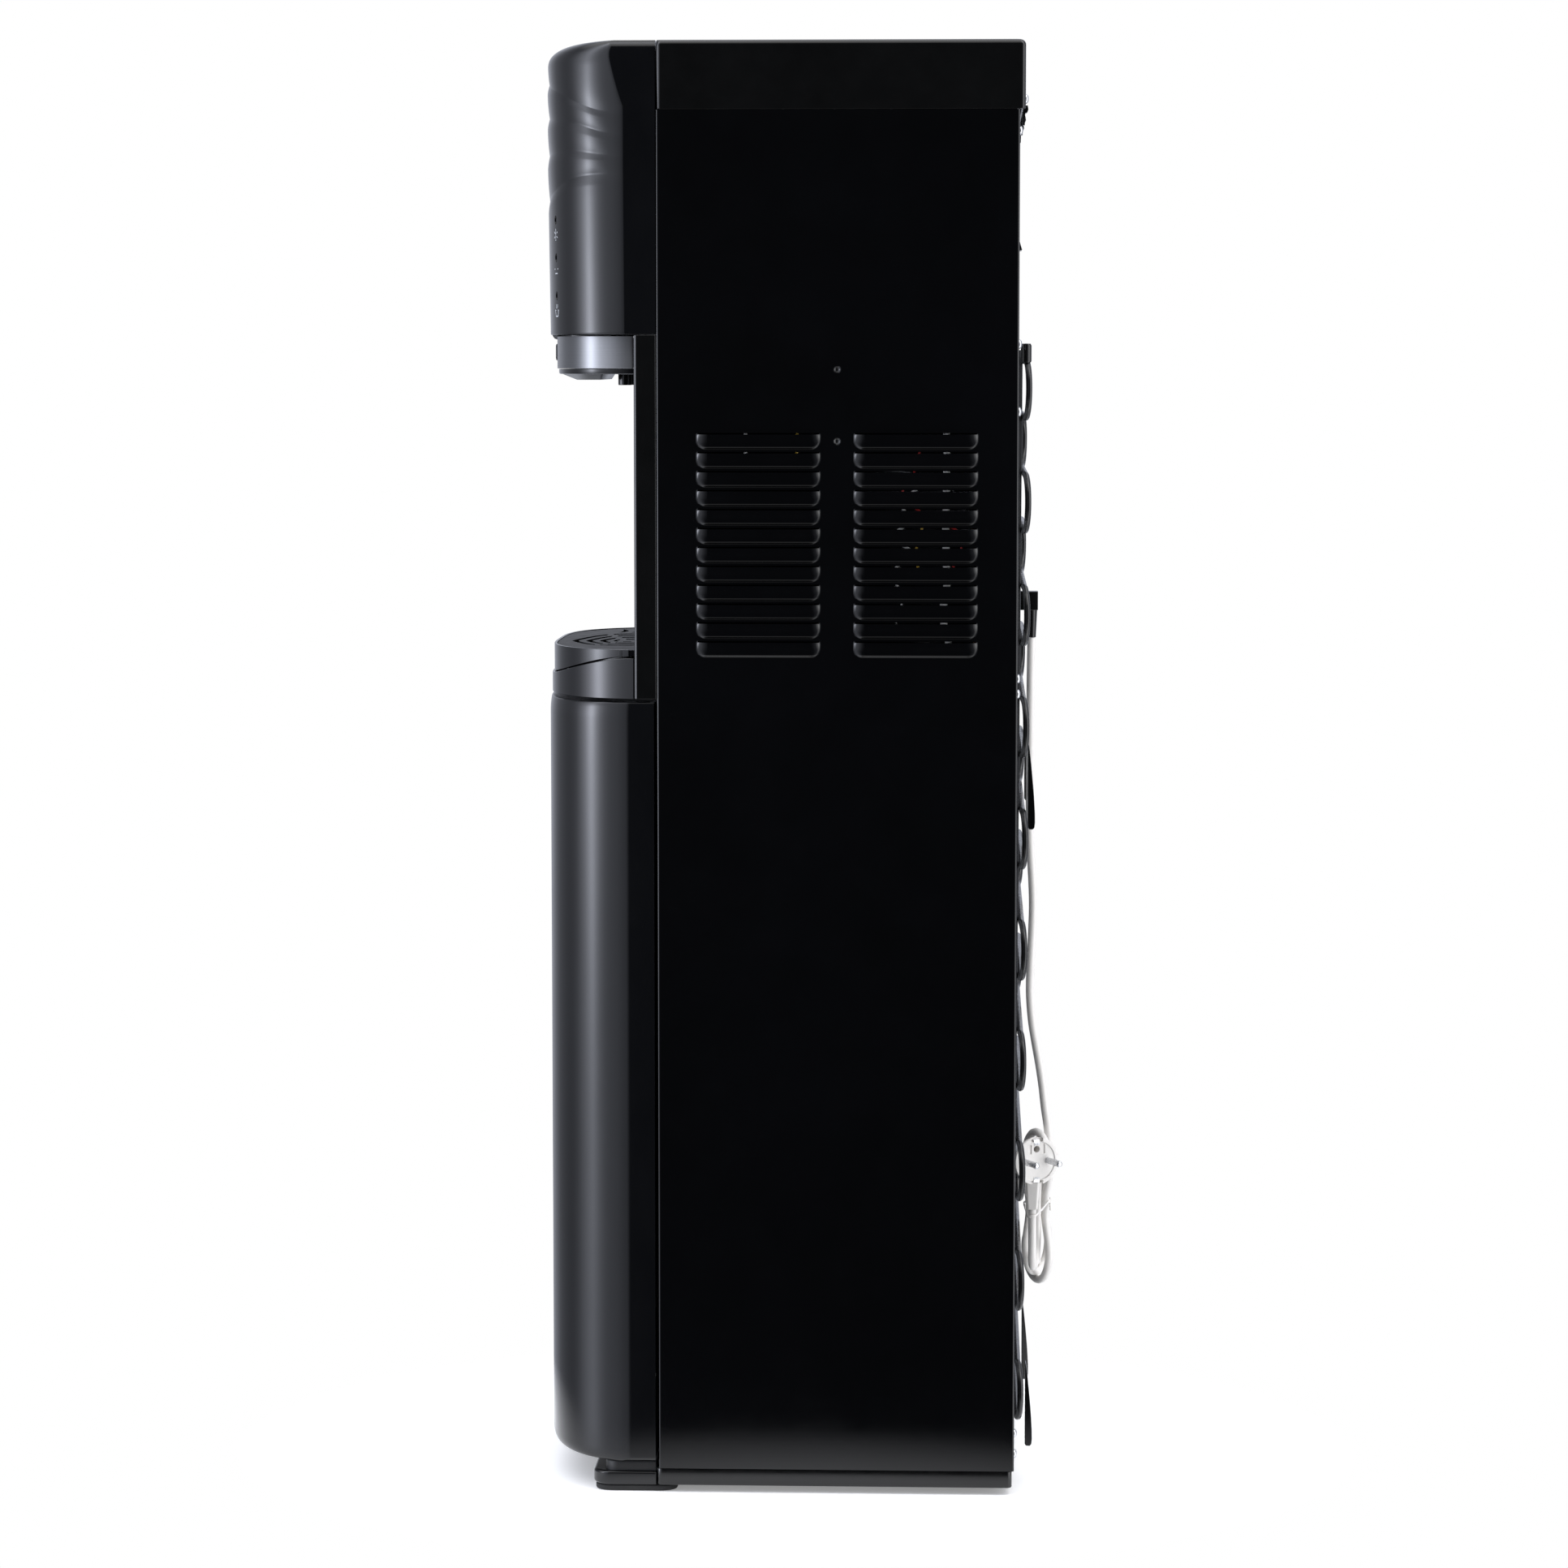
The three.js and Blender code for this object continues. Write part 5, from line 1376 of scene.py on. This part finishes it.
def screws():
    """Pan-head screws along the rear flanges."""
    heads = Solid()
    for sign in (-1, 1):
        for z in (1008.0, 986.0, 835.0, 787.0, 596.0, 585.0, 45.0, 30.0):
            reach = 170.4 if z > 1000 else 166.5
            profile = [(3.3, 0), (3.3, 0.5), (2.9, 1.2), (2.1, 1.75), (1.1, 2.0), (0.01, 2.05)]
            heads.turn([(0.01, 0), *profile], (sign * 147.5, reach, z), (0, 1, 0), 24)
    settle(heads.object("screws"), "steel", crease=50)


def inner_wires():
    """Wires that show as small glints through the louvres, and a dark plate that closes the view between
    them: painted shade, standing in for the shade inside the cabinet.
    """
    runs = (
        ("wire_white", 2.6, ((115.0, 772), (115.2, 735), (114.6, 700), (115.6, 664), (112.6, 642),
                             (117.0, 622))),
        ("wire_white", 0.9, ((96, 733), (82, 722), (90, 709), (74, 697), (92, 686), (76, 672), (84, 655),
                             (79, 636))),
        ("wire_white", 1.3, ((-28.6, 778), (-28.8, 750))),
        ("wire_yellow", 1.2, ((8.4, 778), (8.0, 750))),
        ("wire_yellow", 0.9, ((99, 715), (97, 700), (93, 684), (98, 668))),
        ("wire_red", 0.9, ((97, 770), (95.6, 757), (92, 744), (84, 728), (102, 712), (123, 702), (126, 690),
                           (120, 676))),
    )
    for number, (look, radius, places) in enumerate(runs):
        path = spline([(151.6 - radius, y, z) for y, z in places], 6)
        wire = Solid().tube(path, radius, 10).object(f"inner_wire_{number + 1}")
        settle(wire, look)
    # A dark matt sheet inside the left panel's louvres: painted shade that stands in for the shade inside the
    # cabinet.
    shade_sheet = Solid().box(-151.5, -150.7, -66, 34, 600, 776).object("painted_shade_baffle")
    settle(shade_sheet, "matt_and_shade")


# ------------------------------------------------------------------ pieces that keep their CAD shape

PLAIN = {
    "base_pan": ("satin_black", 0.8), "rear_panel_upper": ("zinc", 0.2), "rear_panel_lower": ("zinc", 0.2),
    "control_board": ("circuit", 0.1), "child_lock_slider": ("white_plastic", 0.4),
    "switch_board": ("circuit", 0.2),
    "hinge_pin_lower": ("steel", 0.3), "hinge_pin_upper": ("steel", 0.3), "door_magnet": ("rubber", 0.5),
    "mid_shelf": ("zinc", 0.2), "tank_shelf": ("zinc", 0.2), "compressor": ("satin_black", 1.2),
    # The water pump is white plastic but is dressed satin black: painted shade, standing in for the shade it
    # sits in behind the louvres.
    "filter_dryer": ("copper", 0.6), "water_pump": ("satin_black", 2.0), "cold_insulation": ("foam", 2.0),
    "cold_tank": ("steel", 0.5), "hot_jacket": ("foam", 2.0), "hot_tank": ("steel", 0.5),
    "power_box": ("satin_black", 0.6), "dip_tube": ("white_plastic", 0.3),
    "probe_cap": ("satin_black", 1.0), "feed_hose": ("white_plastic", 0.3),
    "switch_plate": ("satin_black", 0.6), "rocker_heating": ("satin_black", 0.5),
    "rocker_cooling": ("satin_black", 0.5), "cord_gland": ("satin_black", 0.6),
}


def dress(name, look, width):
    """Soft edges, smooth shading and a material on a CAD node that stays."""
    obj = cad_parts[name]
    for attribute in list(obj.data.attributes):
        if attribute.name == "custom_normal":
            obj.data.attributes.remove(attribute)
    weld = obj.modifiers.new("weld", "WELD")
    weld.merge_threshold = 0.00002
    plane = obj.modifiers.new("planes", "DECIMATE")
    plane.decimate_type = "DISSOLVE"
    plane.angle_limit = math.radians(1.0)
    bevel = obj.modifiers.new("edges", "BEVEL")
    bevel.width = width * MM
    bevel.segments = 3
    bevel.limit_method = "ANGLE"
    bevel.angle_limit = math.radians(32)
    for polygon in obj.data.polygons:
        polygon.use_smooth = True
    obj.data.materials.clear()
    obj.data.materials.append(LOOKS[look])


# ------------------------------------------------------------------ studio

def make_world():
    """A soft studio as a gradient by direction: white to the camera, and to everything else dark on the
    right, with a tall soft light to the right of the front."""
    world = bpy.data.worlds.new("studio")
    world.use_nodes = True
    nodes, links = world.node_tree.nodes, world.node_tree.links
    nodes.clear()

    def math_node(operation, *values):
        node = nodes.new("ShaderNodeMath")
        node.operation = operation
        for socket, value in zip(node.inputs, values):
            if isinstance(value, (int, float)):
                socket.default_value = value
            else:
                links.new(value, socket)
        return node.outputs[0]

    def ramp(factor, stops, ease="EASE"):
        node = nodes.new("ShaderNodeValToRGB")
        node.color_ramp.interpolation = ease
        elements = node.color_ramp.elements
        while len(elements) < len(stops):
            elements.new(0.5)
        for element, (place, value) in zip(elements, stops):
            element.position = place
            element.color = (value, value, value, 1.0)
        links.new(factor, node.inputs["Fac"])
        return node.outputs["Color"]

    coordinates = nodes.new("ShaderNodeTexCoord")
    split = nodes.new("ShaderNodeSeparateXYZ")
    links.new(coordinates.outputs["Generated"], split.inputs[0])
    x, y, z = split.outputs
    round_about = math_node("ARCTAN2", math_node("MULTIPLY", y, -1.0), x)
    degrees_round = math_node("MULTIPLY", round_about, 180 / math.pi)
    azimuth = math_node("ADD", math_node("DIVIDE", degrees_round, 360.0), 0.5)
    rise = math_node("MULTIPLY", math_node("ARCSINE", z), 180 / math.pi)
    elevation = math_node("ADD", math_node("DIVIDE", rise, 180.0), 0.5)

    def turn(degrees):
        return degrees / 360 + 0.5

    def soft_light(light):
        """A round soft light, by how far a direction is from its middle."""
        away = math_node("DIVIDE", math_node("SUBTRACT", degrees_round, light["azimuth"]), light["spread"])
        glow = math_node("EXPONENT", math_node("MULTIPLY", math_node("MULTIPLY", away, away), -1.0))
        return math_node("MULTIPLY", glow, light["power"])

    def key_light(light):
        """A narrow light with wide skirts, cut off where they have faded."""
        away = math_node("DIVIDE", math_node("SUBTRACT", degrees_round, light["azimuth"]), light["spread"])
        glow = math_node("DIVIDE", 1.0, math_node("ADD", math_node("MULTIPLY", away, away), 1.0))
        cut = math_node("MAXIMUM", math_node("SUBTRACT", glow, light["cut"]), 0.0)
        return math_node("MULTIPLY", math_node("DIVIDE", cut, 1 - light["cut"]), light["power"])

    def key_height(light):
        """Full from the foot to the horizon, fading above and below, with a faint upper part."""
        foot = math_node("MULTIPLY", math_node("SUBTRACT", rise, light["foot"]), light["fade_below"])
        head = math_node("MULTIPLY", rise, -light["fade_above"])
        strip = math_node("MINIMUM", math_node("EXPONENT", math_node("MINIMUM", foot, head)), 1.0)
        upper = math_node("MULTIPLY", math_node("GREATER_THAN", rise, light["upper_start"]), light["upper"])
        return math_node("MAXIMUM", strip, upper)

    room = ramp(azimuth, [(turn(a), v) for a, v in ROOM_LIGHT], "LINEAR")
    lights = math_node("ADD", soft_light(FRONT_LIGHT), soft_light(FILL_LIGHT))
    high = ramp(elevation, [(0.5 + e / 180, v) for e, v in ROOM_HEIGHT], "LINEAR")
    level = math_node("MULTIPLY", math_node("ADD", room, lights), high)
    front_light = math_node("MULTIPLY", key_light(KEY_LIGHT), key_height(KEY_LIGHT))
    rear = ramp(azimuth, [(turn(a), v) for a, v in REAR_LIGHT], "LINEAR")
    rear_light = math_node("MULTIPLY", rear, REAR_POWER)
    overhead = ramp(elevation, [(0.5 + e / 180, v) for e, v in SKY_HEIGHT], "LINEAR")
    sky = math_node("MULTIPLY", overhead, SKY_POWER)
    tinted = nodes.new("ShaderNodeMix")
    tinted.data_type = "RGBA"
    tinted.blend_type = "MULTIPLY"
    tinted.inputs["Factor"].default_value = 1.0
    links.new(math_node("ADD", level, front_light), tinted.inputs[6])
    tinted.inputs[7].default_value = (0.93, 0.97, 1.1, 1.0)
    whole = nodes.new("ShaderNodeMix")
    whole.data_type = "RGBA"
    whole.blend_type = "ADD"
    whole.inputs["Factor"].default_value = 1.0
    links.new(tinted.outputs[2], whole.inputs[6])
    links.new(math_node("ADD", rear_light, sky), whole.inputs[7])
    studio = nodes.new("ShaderNodeBackground")
    links.new(whole.outputs[2], studio.inputs["Color"])
    plain = nodes.new("ShaderNodeBackground")
    plain.inputs["Color"].default_value = WHITE
    path = nodes.new("ShaderNodeLightPath")
    mix = nodes.new("ShaderNodeMixShader")
    links.new(path.outputs["Is Camera Ray"], mix.inputs[0])
    links.new(studio.outputs[0], mix.inputs[1])
    links.new(plain.outputs[0], mix.inputs[2])
    out = nodes.new("ShaderNodeOutputWorld")
    links.new(mix.outputs[0], out.inputs["Surface"])
    bpy.context.scene.world = world


# The studio's light. Azimuth is in degrees from +X towards -Y, and height in degrees above the horizon.
ROOM_LIGHT = ((-180, 0.7), (-150, 0.5), (-120, 0.55), (-90, 0.7), (-60, 0.6), (-30, 0.3),
              (-12, 0.03), (0, 0.02), (10, 0.03), (20, 0.34), (140, 0.34), (180, 0.7))
ROOM_HEIGHT = ((-90, 0.9), (-25, 0.8), (-10, 0.75), (-3, 1.0), (30, 1.0), (60, 0.9), (90, 0.8))
FRONT_LIGHT = {"azimuth": 70.0, "spread": 23.0, "power": 2.0}
FILL_LIGHT = {"azimuth": 35.0, "spread": 12.0, "power": 0.5}
KEY_LIGHT = {"azimuth": 68.0, "spread": 8.0, "cut": 0.07, "power": 8.0, "foot": -4.5, "fade_below": 0.41,
             "fade_above": 0.29, "upper_start": 5.0, "upper": 0.18}
REAR_LIGHT = ((-95, 0.0), (-78, 0.5), (-68, 1.0), (-60, 1.0), (-50, 0.4), (-35, 0.0))
REAR_POWER = 3.0
SKY_HEIGHT = ((-90, 0.35), (-40, 0.25), (-30, 0.0), (38, 0.0), (50, 0.6), (64, 1.0), (90, 1.0))
SKY_POWER = 1.6


def make_floor():
    """A pale floor that fades into the white round it."""
    floor = Solid()
    floor.add([(-1500, -1300, 0), (700, -1300, 0), (700, 1300, 0), (-1500, 1300, 0)], [(0, 1, 2, 3)])
    obj = floor.object("floor")
    look = Look("floor", (0.9, 0.9, 0.9), 0.9)
    look.shader.inputs["Emission Color"].default_value = WHITE
    look.shader.inputs["Emission Strength"].default_value = 0.25
    reach = look.node("ShaderNodeVectorMath")
    reach.operation = "LENGTH"
    look.link(look.place((1.0, 0.85, 1.0)), reach.inputs[0])
    fade = look.ramp(reach.outputs["Value"], (0.0, 1.0), (0.2, 1.0), (0.36, 0.0))
    look.link(fade, look.shader.inputs["Alpha"])
    obj.data.materials.append(look.material)


# ------------------------------------------------------------------ the whole

make_camera()
make_cord()
head_shell()
lamps_and_icons()
for panel_side, panel_sign in (("left", -1), ("right", 1)):
    side_panel(panel_side, panel_sign)
top_cover()
front_frame()
faucet_band()
outlet_cover()
buttons()
front_apron()
drip_tray()
drip_grille()
door()
front_skirt()
condenser()
spacers()
screws()
inner_wires()
for node_name, (node_look, node_edge) in PLAIN.items():
    dress(node_name, node_look, node_edge)
make_world()
make_floor()
bpy.context.scene.view_settings.view_transform = "Standard"
